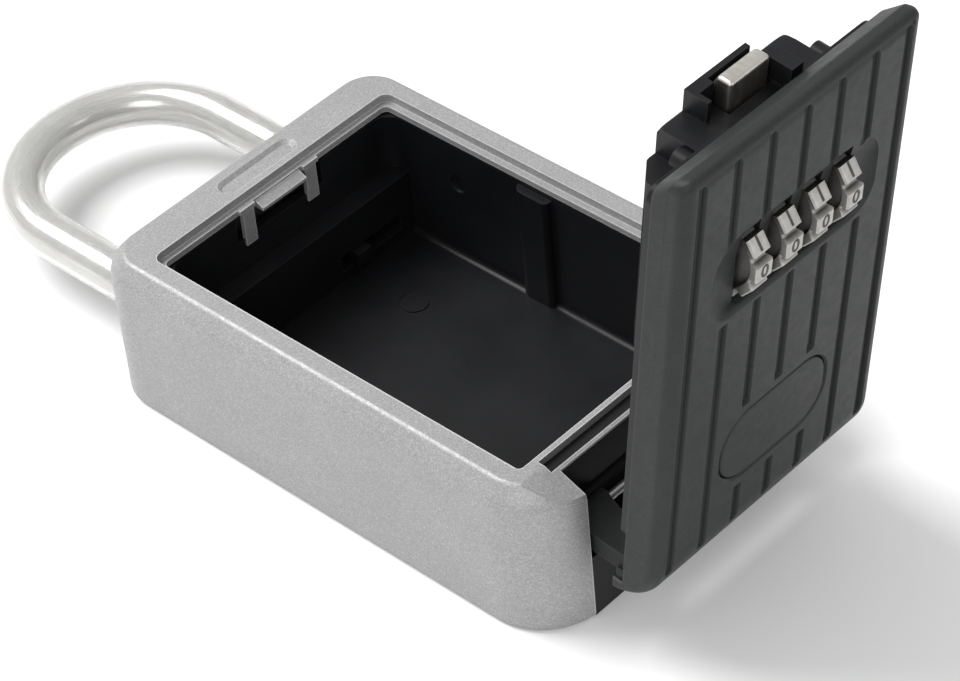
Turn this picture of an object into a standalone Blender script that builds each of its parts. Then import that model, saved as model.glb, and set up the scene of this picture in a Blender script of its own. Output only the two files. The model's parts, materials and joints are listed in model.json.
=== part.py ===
"""A four-dial key box with a sleeved shackle, lying on its back with its door open.

Frame: origin at the middle of the back face, +Z out of the box, +Y towards the shackle.
The door's pieces are modelled shut, in the frame of the hinge axis, and the empty
door_hinge turns them to the open pose.
"""

import math

import bmesh
import bpy
from mathutils import Matrix, Vector

MM = 0.001

# Driving dimensions, in millimetres.
GAP = 0.3                      # clearance between neighbouring pieces
CASE_WIDTH = 80.0
CASE_LENGTH = 120.0
CASE_HEIGHT = 35.0
CASE_WALL = 3.0
SHACKLE_CORNER = 10.0          # plan radius of the two corners at the shackle end
HINGE_CORNER = 14.0            # plan radius of the two corners at the hinge end
RIM_CHAMFER_RUN = 3.0
RIM_CHAMFER_DROP = 3.5
RIM_INSIDE = (33.0, 48.5)      # half width and half length of the opening in the rim
LEDGE_DEPTH = 1.9              # the ledge lies this far below the rim
LEDGE_INSIDE = (31.5, 47.2)
TOP_THICKNESS = 1.3            # metal under the ledge
CHEEK_INSIDE = 27.6            # half width of the gap between the hinge cheeks
BAR_EDGES = (-50.4, -53.2, -54.8)   # inner bar, groove and outer bar at the hinge end
STRIKE_Y = 45.0                # front of the strike ramp
STRIKE_Z = 30.9                # its underside
TRAY_WALL = 2.0
TRAY_FLOOR = 3.0
TRAY_END_WALL = (14.8, 1.6)    # height and thickness of the low wall under the hinge

HINGE_Y = -55.6
HINGE_Z = 20.7
HINGE_PIN_RADIUS = 0.9
KNUCKLE_RADIUS = 2.6
ARM_SPAN = (18.3, 26.6)        # each hinge arm, measured from the middle
OPEN_ANGLE = 97.5              # the door stands this far from shut

DOOR_HALF_WIDTH = 31.0
DOOR_FRONT = 22.5              # front face above the hinge axis
DOOR_BACK = 15.0               # where the door shell meets the back plate
DOOR_TOP = 104.2               # free end, from the hinge axis
DOOR_TOP_BACK = 99.5           # the free end slants back to here
DOOR_END_RADIUS = 12.0         # the round end that wraps over the hinge
DOOR_WALL = 2.0
SKIRT_N = 12.8                 # the round end stops this far from the hinge axis
CAVITY_TOP = 95.5
APRON = ((-4.9, 10.5), (-3.2, 10.5), (-3.2, 14.0), (-4.7, 14.0))   # section of the strip between the cheeks
POST_RADIUS = 3.0
SCREW_BORE = 1.6
PLATE = (10.2, 96.8, 12.7)     # back plate: lower end, upper end, underside
PLATE_HALF_WIDTH = 29.6
GROOVE_PITCH = 9.0
GROOVE_COUNT = 7
GROOVE_WIDTH = 1.8
GROOVE_DEPTH = 0.7
GROOVE_ENDS = (6.0, 101.5)

DIAL_COUNT = 4
DIAL_PITCH = 8.2
DIAL_MIDDLE = 0.8              # the row sits this far to the far side of the middle
DIAL_RADIUS = 9.2
DIAL_WIDTH = 4.5
DIAL_BORE = 3.3
DIAL_U = 73.2
DIAL_N = 16.2
DIAL_NOTCHES = 10
DIAL_SLOT = 9.0                # half length of each wheel's slot
RECESS = (22.4, 9.6, 2.4)      # dial recess: half length, half height, depth
AXLE_RADIUS = 1.5

BUTTON_U = 25.0
BUTTON_SIZE = (14.6, 8.4)      # half length and half height of the release button

BOLT_HALF_WIDTH = 5.2
BOLT_N = (5.6, 10.0)
BOLT_ENDS = (92.0, 101.9)
BOLT_BEVEL = 2.6
BOLT_EARS = (10.4, 2.6)        # half width and length of the bolt's wide end
LATCH_BOX = (10.3, 8.8, 100.6, 3.8)    # left side, right side, top and underside
LATCH_CHEEK = (5.7, 7.8, 14.2)         # inner side, underside and upper side of the guide's right cheek
LOCK_BOX = (22.8, 48.0, 96.0, 3.8)     # half width, ends, underside
LOCK_BOX_SLOPE = (4.2, 3.4)    # its sides slope in by this much, over this height
LOCK_BOX_WALL = 1.5
SHOULDER = (16.4, 90.0)        # above this height the lock box narrows to this half width
LUG = (18.0, 94.0, 2.1)        # place and radius of the two round lugs
LUG_N = (9.6, 13.2)
CHAMBER = (11.0, 85.2, 94.9)   # half width and ends of the room for the bolt's wide end
DIAL_ROOM = (18.6, 9.6)        # half width and half height of the room behind the dials
AXLE_BRACKET = (16.8, 19.6, 3.0)       # inner side, outer side and half height
AXLE_LENGTH = 35.6
LEVER_PLACE = (-12.0, 56.0)
SLIDE_N = (15.6, 17.2)         # the release slide lies between the back plate and the face

SHACKLE_X = 24.8
SHACKLE_Z = 13.0
SHACKLE_RADIUS = 4.0
SLEEVE_RADIUS = 5.1
SLEEVE_BORE = 4.3
SHACKLE_BEND_Y = 91.7
SHACKLE_END_Y = 46.4
HOUSING = (34.0, 41.9, 56.5, 18.2)     # half width, ends, top of the shackle lock housing


def clear_scene():
    for thing in list(bpy.data.objects):
        bpy.data.objects.remove(thing, do_unlink=True)


def material(name, colour, roughness, metallic):
    made = bpy.data.materials.new(name)
    made.use_nodes = True
    shader = made.node_tree.nodes["Principled BSDF"]
    shader.inputs["Base Color"].default_value = (*colour, 1.0)
    shader.inputs["Roughness"].default_value = roughness
    shader.inputs["Metallic"].default_value = metallic
    return made


def object_from(name, mesh_edit, finish=None, parent=None):
    """A new object from a bmesh in millimetres; without a finish it is a cutter or helper."""
    bmesh.ops.remove_doubles(mesh_edit, verts=mesh_edit.verts, dist=1e-4)
    bmesh.ops.recalc_face_normals(mesh_edit, faces=mesh_edit.faces)
    bmesh.ops.scale(mesh_edit, vec=(MM, MM, MM), verts=mesh_edit.verts)
    mesh = bpy.data.meshes.new(name)
    mesh_edit.to_mesh(mesh)
    mesh_edit.free()
    thing = bpy.data.objects.new(name, mesh)
    bpy.context.scene.collection.objects.link(thing)
    if finish is None:
        thing.hide_render = True
        thing.display_type = "WIRE"
    else:
        mesh.materials.append(finish)
    if parent is not None:
        thing.parent = parent
    return thing


def smooth(thing, degrees=30.0):
    thing.data.shade_smooth()
    thing.data.set_sharp_from_angle(angle=math.radians(degrees))


def box_mesh(low, high):
    edit = bmesh.new()
    size = Vector(high) - Vector(low)
    middle = (Vector(high) + Vector(low)) / 2
    place = Matrix.Translation(middle) @ Matrix.Diagonal((*size, 1.0))
    bmesh.ops.create_cube(edit, size=1.0, matrix=place)
    return edit


def cylinder_mesh(centre, axis, radius, length, sides=24, far_radius=None):
    """A cylinder whose middle is at centre; axis is X, Y or Z."""
    turn = {
        "X": Matrix.Rotation(math.pi / 2, 4, "Y"),
        "Y": Matrix.Rotation(-math.pi / 2, 4, "X"),
        "Z": Matrix.Identity(4),
    }[axis]
    edit = bmesh.new()
    bmesh.ops.create_cone(
        edit,
        cap_ends=True,
        segments=sides,
        radius1=radius,
        radius2=radius if far_radius is None else far_radius,
        depth=length,
        matrix=Matrix.Translation(Vector(centre)) @ turn,
    )
    return edit


def loft_mesh(rings):
    """A closed solid through rings of equal numbers of points, capped at both ends."""
    edit = bmesh.new()
    loops = [[edit.verts.new(point) for point in ring] for ring in rings]
    count = len(rings[0])
    edit.faces.new(loops[0][::-1])
    edit.faces.new(loops[-1])
    for low, high in zip(loops, loops[1:]):
        for i in range(count):
            j = (i + 1) % count
            edit.faces.new((low[i], low[j], high[j], high[i]))
    return edit


def round_outline(half_width, low_y, high_y, low_radius, high_radius, steps=7):
    """Points round a rectangle with rounded corners, anticlockwise, as (x, y)."""
    corners = [
        (half_width - high_radius, high_y - high_radius, high_radius, 0),
        (-half_width + high_radius, high_y - high_radius, high_radius, 90),
        (-half_width + low_radius, low_y + low_radius, low_radius, 180),
        (half_width - low_radius, low_y + low_radius, low_radius, 270),
    ]
    points = []
    for x, y, radius, start in corners:
        for step in range(steps + 1):
            angle = math.radians(start + 90 * step / steps)
            points.append((x + radius * math.cos(angle), y + radius * math.sin(angle)))
    return points


def prism_mesh(outline, low, high, axis="Z"):
    """An outline swept from low to high. Along X, the outline holds (y, z) pairs."""
    if axis == "Z":
        rings = [[(x, y, z) for x, y in outline] for z in (low, high)]
    else:
        rings = [[(x, y, z) for y, z in outline] for x in (low, high)]
    return loft_mesh(rings)


def change(thing, operation, *tools):
    """Cuts each tool from the thing, or joins it on. The tools stay hidden beside it."""
    for tool in tools:
        modifier = thing.modifiers.new(tool.name, "BOOLEAN")
        modifier.operation = operation
        modifier.solver = "EXACT"
        modifier.object = tool


def cut(thing, *tools):
    change(thing, "DIFFERENCE", *tools)


def join(thing, *tools):
    change(thing, "UNION", *tools)


def box_tool(name, low, high, parent=None):
    return object_from(name, box_mesh(low, high), None, parent)


def round_tool(name, centre, axis, radius, length, parent=None, sides=24):
    return object_from(name, cylinder_mesh(centre, axis, radius, length, sides), None, parent)


def case_outline(inset, steps=7):
    half = CASE_WIDTH / 2 - inset
    end = CASE_LENGTH / 2 - inset
    low_radius = max(HINGE_CORNER - inset, 0.5)
    high_radius = max(SHACKLE_CORNER - inset, 0.5)
    return round_outline(half, -end, end, low_radius, high_radius, steps)


def cheek_outline(steps=6):
    """The block behind one round hinge corner, from the hinge gap to the end groove."""
    radius = HINGE_CORNER - 2.0
    middle_x = CASE_WIDTH / 2 - HINGE_CORNER
    middle_y = -CASE_LENGTH / 2 + HINGE_CORNER
    start = -math.acos((CHEEK_INSIDE - middle_x) / radius)
    stop = math.asin((BAR_EDGES[1] - middle_y) / radius)
    points = [(CHEEK_INSIDE, BAR_EDGES[1])]
    for step in range(steps + 1):
        angle = start + (stop - start) * step / steps
        points.append((middle_x + radius * math.cos(angle), middle_y + radius * math.sin(angle)))
    return points


def case_shell(silver):
    """The cast outer frame: rim, ledge, strike and the two cheeks that hold the hinge pin."""
    foot = 1.0
    levels = [
        (foot, 0.0),
        (0.0, foot),
        (0.0, CASE_HEIGHT - RIM_CHAMFER_DROP),
        (RIM_CHAMFER_RUN, CASE_HEIGHT),
    ]
    rings = [[(x, y, z) for x, y in case_outline(inset)] for inset, z in levels]
    shell = object_from("case_shell", loft_mesh(rings), silver)

    ledge_z = CASE_HEIGHT - LEDGE_DEPTH
    roof_z = ledge_z - TOP_THICKNESS
    hollow = prism_mesh(case_outline(CASE_WALL, 5), -1.0, roof_z)
    cut(shell, object_from("case_hollow", hollow))
    half_x, half_y = RIM_INSIDE
    rabbet = prism_mesh(round_outline(half_x, -half_y, half_y, 1.5, 3.0, 4), ledge_z, CASE_HEIGHT + 1)
    cut(shell, object_from("rim_rabbet", rabbet))
    mouth_x, mouth_y = LEDGE_INSIDE
    cut(shell, box_tool("case_mouth", (-mouth_x, -half_y, roof_z - 1), (mouth_x, mouth_y, ledge_z + 1)))

    # The cheeks fill the two corners at the hinge end, and the gap between them stays open.
    end = CASE_LENGTH / 2
    for side, name in ((-1, "cheek_left"), (1, "cheek_right")):
        outline = [(side * x, y) for x, y in cheek_outline()]
        join(shell, object_from(name, prism_mesh(outline, 0.6, roof_z + 0.6)))
    gap_high = (CHEEK_INSIDE, BAR_EDGES[2], CASE_HEIGHT + 1)
    cut(shell, box_tool("hinge_gap", (-CHEEK_INSIDE, -end - 1, -1), gap_high))
    groove_low = (-CHEEK_INSIDE - 1.8, BAR_EDGES[1], ledge_z - 0.5)
    cut(shell, box_tool("end_groove", groove_low, (CHEEK_INSIDE + 1.8, BAR_EDGES[0], CASE_HEIGHT + 1)))
    slope = [(-52.0, CASE_HEIGHT + 3), (-52.0, CASE_HEIGHT)]
    slope += [(-61.0, CASE_HEIGHT - 4.0), (-61.0, CASE_HEIGHT + 3)]
    cut(shell, object_from("cheek_slope", prism_mesh(slope, -CASE_WIDTH, CASE_WIDTH, "X")))
    bore = round_tool("pin_bore", (0, HINGE_Y, HINGE_Z), "X", HINGE_PIN_RADIUS + GAP, 68.0, sides=16)
    cut(shell, bore)

    # The strike: a ramp that pushes the bolt back, with a tab on each side of it.
    ramp = [(49.5, ledge_z), (mouth_y + 1.2, ledge_z)]
    ramp += [(STRIKE_Y, roof_z - 0.2), (STRIKE_Y, STRIKE_Z), (49.5, STRIKE_Z)]
    join(shell, object_from("strike_ramp", prism_mesh(ramp, -6.3, 6.3, "X")))
    for name, low_x, high_x in (("tab_left", -11.0, -6.8), ("tab_right", 6.8, 11.0)):
        join(shell, box_tool(name, (low_x, mouth_y - 0.7, roof_z + 0.4), (high_x, mouth_y + 1, ledge_z)))

    pocket = round_outline(10.0, 50.2, 54.6, 2.1, 2.1, 5)
    cut(shell, object_from("finger_pocket", prism_mesh(pocket, CASE_HEIGHT - 0.9, CASE_HEIGHT + 1)))
    for side in (-1, 1):
        name = "shackle_hole_left" if side < 0 else "shackle_hole_right"
        centre = (side * SHACKLE_X, end - 2, SHACKLE_Z)
        cut(shell, round_tool(name, centre, "Y", SHACKLE_RADIUS + GAP, 6.0))
    smooth(shell)
    return shell


def inner_tray(black):
    """The moulded tray that lines the key compartment and closes the back."""
    inside_x, inside_y = LEDGE_INSIDE
    top = CASE_HEIGHT - LEDGE_DEPTH - TOP_THICKNESS - GAP
    base = case_outline(CASE_WALL + GAP, 5)
    tray = object_from("inner_tray", prism_mesh(base, 0.0, TRAY_FLOOR), black)
    end = -RIM_INSIDE[1]
    outer_x = inside_x + TRAY_WALL
    outer_y = inside_y + TRAY_WALL
    walls = prism_mesh(round_outline(outer_x, end - TRAY_WALL, outer_y, 1.0, 3.0, 3), TRAY_FLOOR - 1, top)
    join(tray, object_from("tray_walls", walls))
    end_y = -CASE_LENGTH / 2 + 0.4
    low_top = TRAY_END_WALL[0]
    reach = CHEEK_INSIDE - GAP
    join(tray, box_tool("hinge_block_low", (-reach, end_y, 0.0), (reach, end - 1.0, low_top)))
    high_low = (-reach, BAR_EDGES[2] + 0.2, low_top - 2)
    join(tray, box_tool("hinge_block_high", high_low, (reach, end - 1.0, top)))
    inside = prism_mesh(round_outline(inside_x, end, inside_y, 0.8, 2.2, 3), TRAY_FLOOR, top + 1)
    cut(tray, object_from("tray_inside", inside))
    trough = round_tool("hinge_trough", (0, HINGE_Y, HINGE_Z), "X", 5.0, 2 * CHEEK_INSIDE + 4, sides=32)
    cut(tray, trough)
    scoop = [(-57.8, low_top - 7.0), (-55.0, low_top - 7.0), (-55.0, 20.0), (-57.8, 20.0)]
    cut(tray, object_from("trough_floor", prism_mesh(scoop, -CHEEK_INSIDE + 2, CHEEK_INSIDE - 2, "X")))

    # Each cheek of the case stands in a notch of the floor, and the bolt reaches through the end wall.
    for side, name in ((-1, "cheek_room_left"), (1, "cheek_room_right")):
        low_x, high_x = sorted((side * reach, side * CASE_WIDTH / 2))
        cut(tray, box_tool(name, (low_x, end_y - 1, -1.0), (high_x, BAR_EDGES[1] + GAP, top + 1)))
    cut(tray, box_tool("strike_window", (-6.9, inside_y - 1.2, 25.4), (6.9, outer_y + 1, top + 1)))

    # Room for the shackle lock housing under the end wall.
    width, low_y, high_y, high_z = HOUSING
    room_low = (-width - GAP, low_y, TRAY_FLOOR)
    cut(tray, box_tool("housing_room", room_low, (width + GAP, high_y + 1, high_z + GAP)))

    # A pilaster on each long wall, and four round knock-outs in the floor.
    for side in (-1, 1):
        name = "pilaster_left" if side < 0 else "pilaster_right"
        low_x, high_x = sorted((side * (inside_x - 1.6), side * (inside_x + 0.5)))
        join(tray, box_tool(name, (low_x, 2.0, TRAY_FLOOR - 1), (high_x, 11.0, top - 1.0)))
    for number, (x, y) in enumerate(((-14, -32), (14, -32), (-14, 26), (14, 26)), 1):
        cut(tray, round_tool(f"knockout_{number}", (x, y, TRAY_FLOOR), "Z", 3.1, 1.0, sides=20))
    # Two ribs under the tabs of the strike.
    for name, low_x, high_x in (("rib_left", -10.4, -7.2), ("rib_right", 7.2, 10.4)):
        join(tray, box_tool(name, (low_x, inside_y - 0.6, 25.0), (high_x, inside_y + 0.5, top - 0.2)))
    smooth(tray)
    return tray


def shackle_housing(black):
    """The block under the end wall that holds the shackle legs and their lock slider."""
    width, low_y, high_y, high_z = HOUSING
    low = (-width, low_y + GAP, TRAY_FLOOR + GAP)
    block = object_from("shackle_lock_housing", box_mesh(low, (width, high_y, high_z)), black)
    for side in (-1, 1):
        name = "leg_bore_left" if side < 0 else "leg_bore_right"
        middle = (SHACKLE_END_Y - GAP + high_y + 2) / 2
        length = high_y + 2 - (SHACKLE_END_Y - GAP)
        centre = (side * SHACKLE_X, middle, SHACKLE_Z)
        cut(block, round_tool(name, centre, "Y", SHACKLE_RADIUS + GAP, length))
    # The corner of the case is round, so the block's outer corners are cut off.
    for side in (-1, 1):
        corner = [(width - 7.0, high_y + 1), (width + 1, high_y + 1), (width + 1, high_y - 7.0)]
        corner = [(side * x, y) for x, y in corner]
        name = "corner_left" if side < 0 else "corner_right"
        cut(block, object_from(name, prism_mesh(corner, TRAY_FLOOR - 1, high_z + 1)))
    cut(block, box_tool("slider_room", (-23.0, 48.6, 5.2), (33.0, 52.4, 16.6)))
    cut(block, box_tool("tab_room", (10.0, 40.0, 5.2), (27.5, 49.5, 9.2)))
    smooth(block)
    return block


def shackle_slider(grey):
    """The slider, drawn clear of the shackle: 2.2 mm back, its fingers sit in the legs' notches."""
    slider = object_from("shackle_lock_slider", box_mesh((-18.8, 49.0, 5.6), (32.5, 52.0, 8.2)), grey)
    join(slider, box_tool("finger_left", (-19.7, 49.0, 5.6), (-16.8, 52.0, 16.0)))
    join(slider, box_tool("finger_right", (30.1, 49.0, 5.6), (32.5, 52.0, 16.0)))
    join(slider, box_tool("thumb_tab", (13.2, 40.4, 5.6), (17.2, 49.5, 8.8)))
    smooth(slider)
    return slider


def coil(name, finish, start, axis, radius, wire, length, turns, parent=None):
    """A compression spring: a wire swept along a helix, as one closed tube."""
    steps = 10
    sides = 5
    count = turns * steps
    edit = bmesh.new()
    rings = []
    for i in range(count + 1):
        angle = 2 * math.pi * i / steps
        along = wire + (length - 2 * wire) * i / count
        ring = []
        for k in range(sides):
            lean = 2 * math.pi * k / sides
            away = radius + wire * math.cos(lean)
            ring.append((away * math.cos(angle), away * math.sin(angle), along + wire * math.sin(lean)))
        rings.append([edit.verts.new(point) for point in ring])
    edit.faces.new(rings[0])
    edit.faces.new(rings[-1][::-1])
    for low, high in zip(rings, rings[1:]):
        for k in range(sides):
            edit.faces.new((low[k], high[k], high[(k + 1) % sides], low[(k + 1) % sides]))
    turn = {
        "X": Matrix.Rotation(math.pi / 2, 4, "Y"),
        "Y": Matrix.Rotation(-math.pi / 2, 4, "X"),
        "Z": Matrix.Identity(4),
    }[axis]
    bmesh.ops.transform(edit, matrix=Matrix.Translation(Vector(start)) @ turn, verts=edit.verts)
    spring = object_from(name, edit, finish, parent)
    smooth(spring, 60)
    return spring


def shackle_path(end_y, bend_steps=20):
    points = [(-SHACKLE_X, end_y), (-SHACKLE_X, (end_y + SHACKLE_BEND_Y) / 2)]
    for step in range(bend_steps + 1):
        angle = math.pi - math.pi * step / bend_steps
        x = SHACKLE_X * math.cos(angle)
        y = SHACKLE_BEND_Y + SHACKLE_X * math.sin(angle)
        points.append((x, y))
    points.append((SHACKLE_X, (end_y + SHACKLE_BEND_Y) / 2))
    points.append((SHACKLE_X, end_y))
    return points


def sweep_rings(path, radius, sides):
    """Rings of a round section along a path that lies flat at the shackle's height."""
    rings = []
    for i, (x, y) in enumerate(path):
        before = path[max(i - 1, 0)]
        after = path[min(i + 1, len(path) - 1)]
        along = Vector((after[0] - before[0], after[1] - before[1])).normalized()
        across = Vector((-along.y, along.x))
        ring = []
        for k in range(sides):
            turn = 2 * math.pi * k / sides
            side = across * radius * math.cos(turn)
            ring.append((x + side.x, y + side.y, SHACKLE_Z + radius * math.sin(turn)))
        rings.append(ring)
    return rings


def shackle_bar(steel):
    bar = object_from(
        "shackle_bar", loft_mesh(sweep_rings(shackle_path(SHACKLE_END_Y), SHACKLE_RADIUS, 16)), steel
    )
    for side, name in ((-1, "notch_left"), (1, "notch_right")):
        edge = side * SHACKLE_X + SHACKLE_RADIUS
        cut(bar, box_tool(name, (edge - 1.5, 48.5, 5.0), (edge + 2.0, 52.5, 20.0)))
    smooth(bar)
    return bar


def shackle_sleeve(clear):
    """The soft tube over the steel: an outer and an inner skin joined at both ends."""
    path = shackle_path(CASE_LENGTH / 2 + GAP)
    sides = 16
    outer = sweep_rings(path, SLEEVE_RADIUS, sides)
    inner = sweep_rings(path, SLEEVE_BORE, sides)
    edit = bmesh.new()
    skins = [[[edit.verts.new(point) for point in ring] for ring in skin] for skin in (outer, inner)]
    for skin in skins:
        for low, high in zip(skin, skin[1:]):
            for k in range(sides):
                edit.faces.new((low[k], low[(k + 1) % sides], high[(k + 1) % sides], high[k]))
    for end in (0, -1):
        for k in range(sides):
            j = (k + 1) % sides
            edit.faces.new((skins[0][end][k], skins[0][end][j], skins[1][end][j], skins[1][end][k]))
    sleeve = object_from("shackle_sleeve", edit, clear)
    smooth(sleeve)
    return sleeve


def door_profile():
    """The door shell seen from the side, as (u, n): round hinge end, flat face, slanting free end."""
    centre_u = DOOR_END_RADIUS - 5.0
    centre_n = DOOR_FRONT - DOOR_END_RADIUS
    points = [(DOOR_TOP_BACK, DOOR_BACK), (DOOR_TOP - 0.9, DOOR_FRONT - 3.4), (DOOR_TOP, DOOR_FRONT - 1.0)]
    points += [(DOOR_TOP - 1.0, DOOR_FRONT)]
    # The round end stops above the case's two cheeks; between them the apron goes on down.
    stop = math.pi - math.asin((SKIRT_N - centre_n) / DOOR_END_RADIUS)
    for step in range(9):
        angle = math.pi / 2 + (stop - math.pi / 2) * step / 8
        points.append(
            (centre_u + DOOR_END_RADIUS * math.cos(angle), centre_n + DOOR_END_RADIUS * math.sin(angle))
        )
    points += [(-5.0 + DOOR_WALL, SKIRT_N), (-5.0 + DOOR_WALL, DOOR_BACK), (centre_u, DOOR_BACK)]
    return points


def door_shell(black, door):
    outer = prism_mesh(door_profile(), -DOOR_HALF_WIDTH, DOOR_HALF_WIDTH, "X")
    shell = object_from("door_shell", outer, black, door)
    inner = DOOR_HALF_WIDTH - DOOR_WALL
    roof = DOOR_FRONT - DOOR_WALL
    cavity = [(CAVITY_TOP, DOOR_BACK - 1), (CAVITY_TOP, roof), (7.0, roof), (1.0, roof - 1.6)]
    cavity += [(-1.0, DOOR_BACK + 2.0), (-1.0, DOOR_BACK - 1)]
    cut(shell, object_from("door_cavity", prism_mesh(cavity, -inner, inner, "X"), None, door))

    # Four posts take the back plate's screws.
    for number, (x, u) in enumerate(screw_places(), 1):
        centre = (x, u, DOOR_FRONT - 4.2)
        join(shell, round_tool(f"post_{number}", centre, "Z", POST_RADIUS, 6.6, door, 8))
        bore = (x, u, DOOR_BACK + 2)
        cut(shell, round_tool(f"post_bore_{number}", bore, "Z", SCREW_BORE, 6.6, door, 8))
    dial_recess(shell, door)

    # The release button's hole.
    half_w, half_h = BUTTON_SIZE
    hole = round_outline(half_w + GAP, BUTTON_U - half_h - GAP, BUTTON_U + half_h + GAP, 7.2, 7.2, 5)
    cut(shell, object_from("button_hole", prism_mesh(hole, DOOR_FRONT - 4, DOOR_FRONT + 1), None, door))
    for number in range(GROOVE_COUNT):
        for part, (low_u, high_u) in enumerate(groove_runs(number), 1):
            x = (number - (GROOVE_COUNT - 1) / 2) * GROOVE_PITCH
            low = (x - GROOVE_WIDTH / 2, low_u, DOOR_FRONT - GROOVE_DEPTH)
            high = (x + GROOVE_WIDTH / 2, high_u, DOOR_FRONT + 1)
            cut(shell, box_tool(f"groove_{number + 1}_{part}", low, high, door))

    reach = CHEEK_INSIDE - 0.4
    join(shell, object_from("hinge_apron", prism_mesh(APRON, -reach, reach, "X"), None, door))

    # Two arms reach down to the hinge pin.
    for side, name in ((-1, "arm_left"), (1, "arm_right")):
        low_x, high_x = sorted((side * ARM_SPAN[0], side * ARM_SPAN[1]))
        arm = prism_mesh(arm_outline(), low_x, high_x, "X")
        join(shell, object_from(name, arm, None, door))
    cut(shell, round_tool("arm_bore", (0, 0, 0), "X", HINGE_PIN_RADIUS + GAP, 60.0, door, 12))
    smooth(shell)
    return shell


def dial_recess(shell, door):
    """The pan under the dials, scooped out at the face, with a slot for each wheel."""
    half_x, half_u, depth = RECESS
    low_u = DIAL_U - half_u
    high_u = DIAL_U + half_u
    pan_low = (-half_x - 1.6, low_u - 1.0, DOOR_FRONT - depth - 1.6)
    pan_high = (half_x + 1.6, high_u + 1.6, DOOR_FRONT - 1.0)
    join(shell, box_tool("recess_pan", pan_low, pan_high, door))
    floor = round_outline(half_x - 1.2, low_u + 0.6, high_u - 5.0, 5.0, 5.0, 3)
    mouth = round_outline(half_x, low_u, high_u, 7.0, 7.0, 3)
    scoop = [
        [(x, y, DOOR_FRONT - depth) for x, y in floor],
        [(x, y, DOOR_FRONT) for x, y in mouth],
        [(x, y, DOOR_FRONT + 1.0) for x, y in mouth],
    ]
    cut(shell, object_from("recess_scoop", loft_mesh(scoop), None, door))
    half_slot = DIAL_WIDTH / 2 + GAP
    for number in range(DIAL_COUNT):
        x = dial_x(number)
        low = (x - half_slot, DIAL_U - DIAL_SLOT, DOOR_FRONT - 8)
        high = (x + half_slot, DIAL_U + DIAL_SLOT, DOOR_FRONT + 1)
        cut(shell, box_tool(f"dial_slot_{number + 1}", low, high, door))


def arm_outline():
    points = [(0.4, 16.5), (-4.0, 16.5), (-4.0, 1.5)]
    for step in range(9):
        angle = math.radians(165 + 195 * step / 8)
        points.append((KNUCKLE_RADIUS * math.cos(angle), KNUCKLE_RADIUS * math.sin(angle)))
    points.append((0.4, 3.4))
    return points


def screw_places():
    return ((-26.5, 14.0), (26.5, 14.0), (-26.5, 93.2), (26.5, 93.2))


def dial_x(number):
    return DIAL_MIDDLE + (number - (DIAL_COUNT - 1) / 2) * DIAL_PITCH


def groove_runs(number):
    """A groove stops at the dial recess and at the release button, and goes on past them."""
    x = abs(number - (GROOVE_COUNT - 1) / 2) * GROOVE_PITCH
    low, high = GROOVE_ENDS
    stops = []
    if x < BUTTON_SIZE[0] + 2:
        reach = BUTTON_SIZE[1] + 2.6 if x < BUTTON_SIZE[0] - 4 else BUTTON_SIZE[1] + 0.6
        stops.append((BUTTON_U - reach, BUTTON_U + reach))
    if x < RECESS[0] + 1:
        stops.append((DIAL_U - RECESS[1] - 1.8, DIAL_U + RECESS[1] + 1.8))
    runs = []
    for start, stop in stops:
        runs.append((low, start))
        low = stop
    runs.append((low, high))
    return runs


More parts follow.
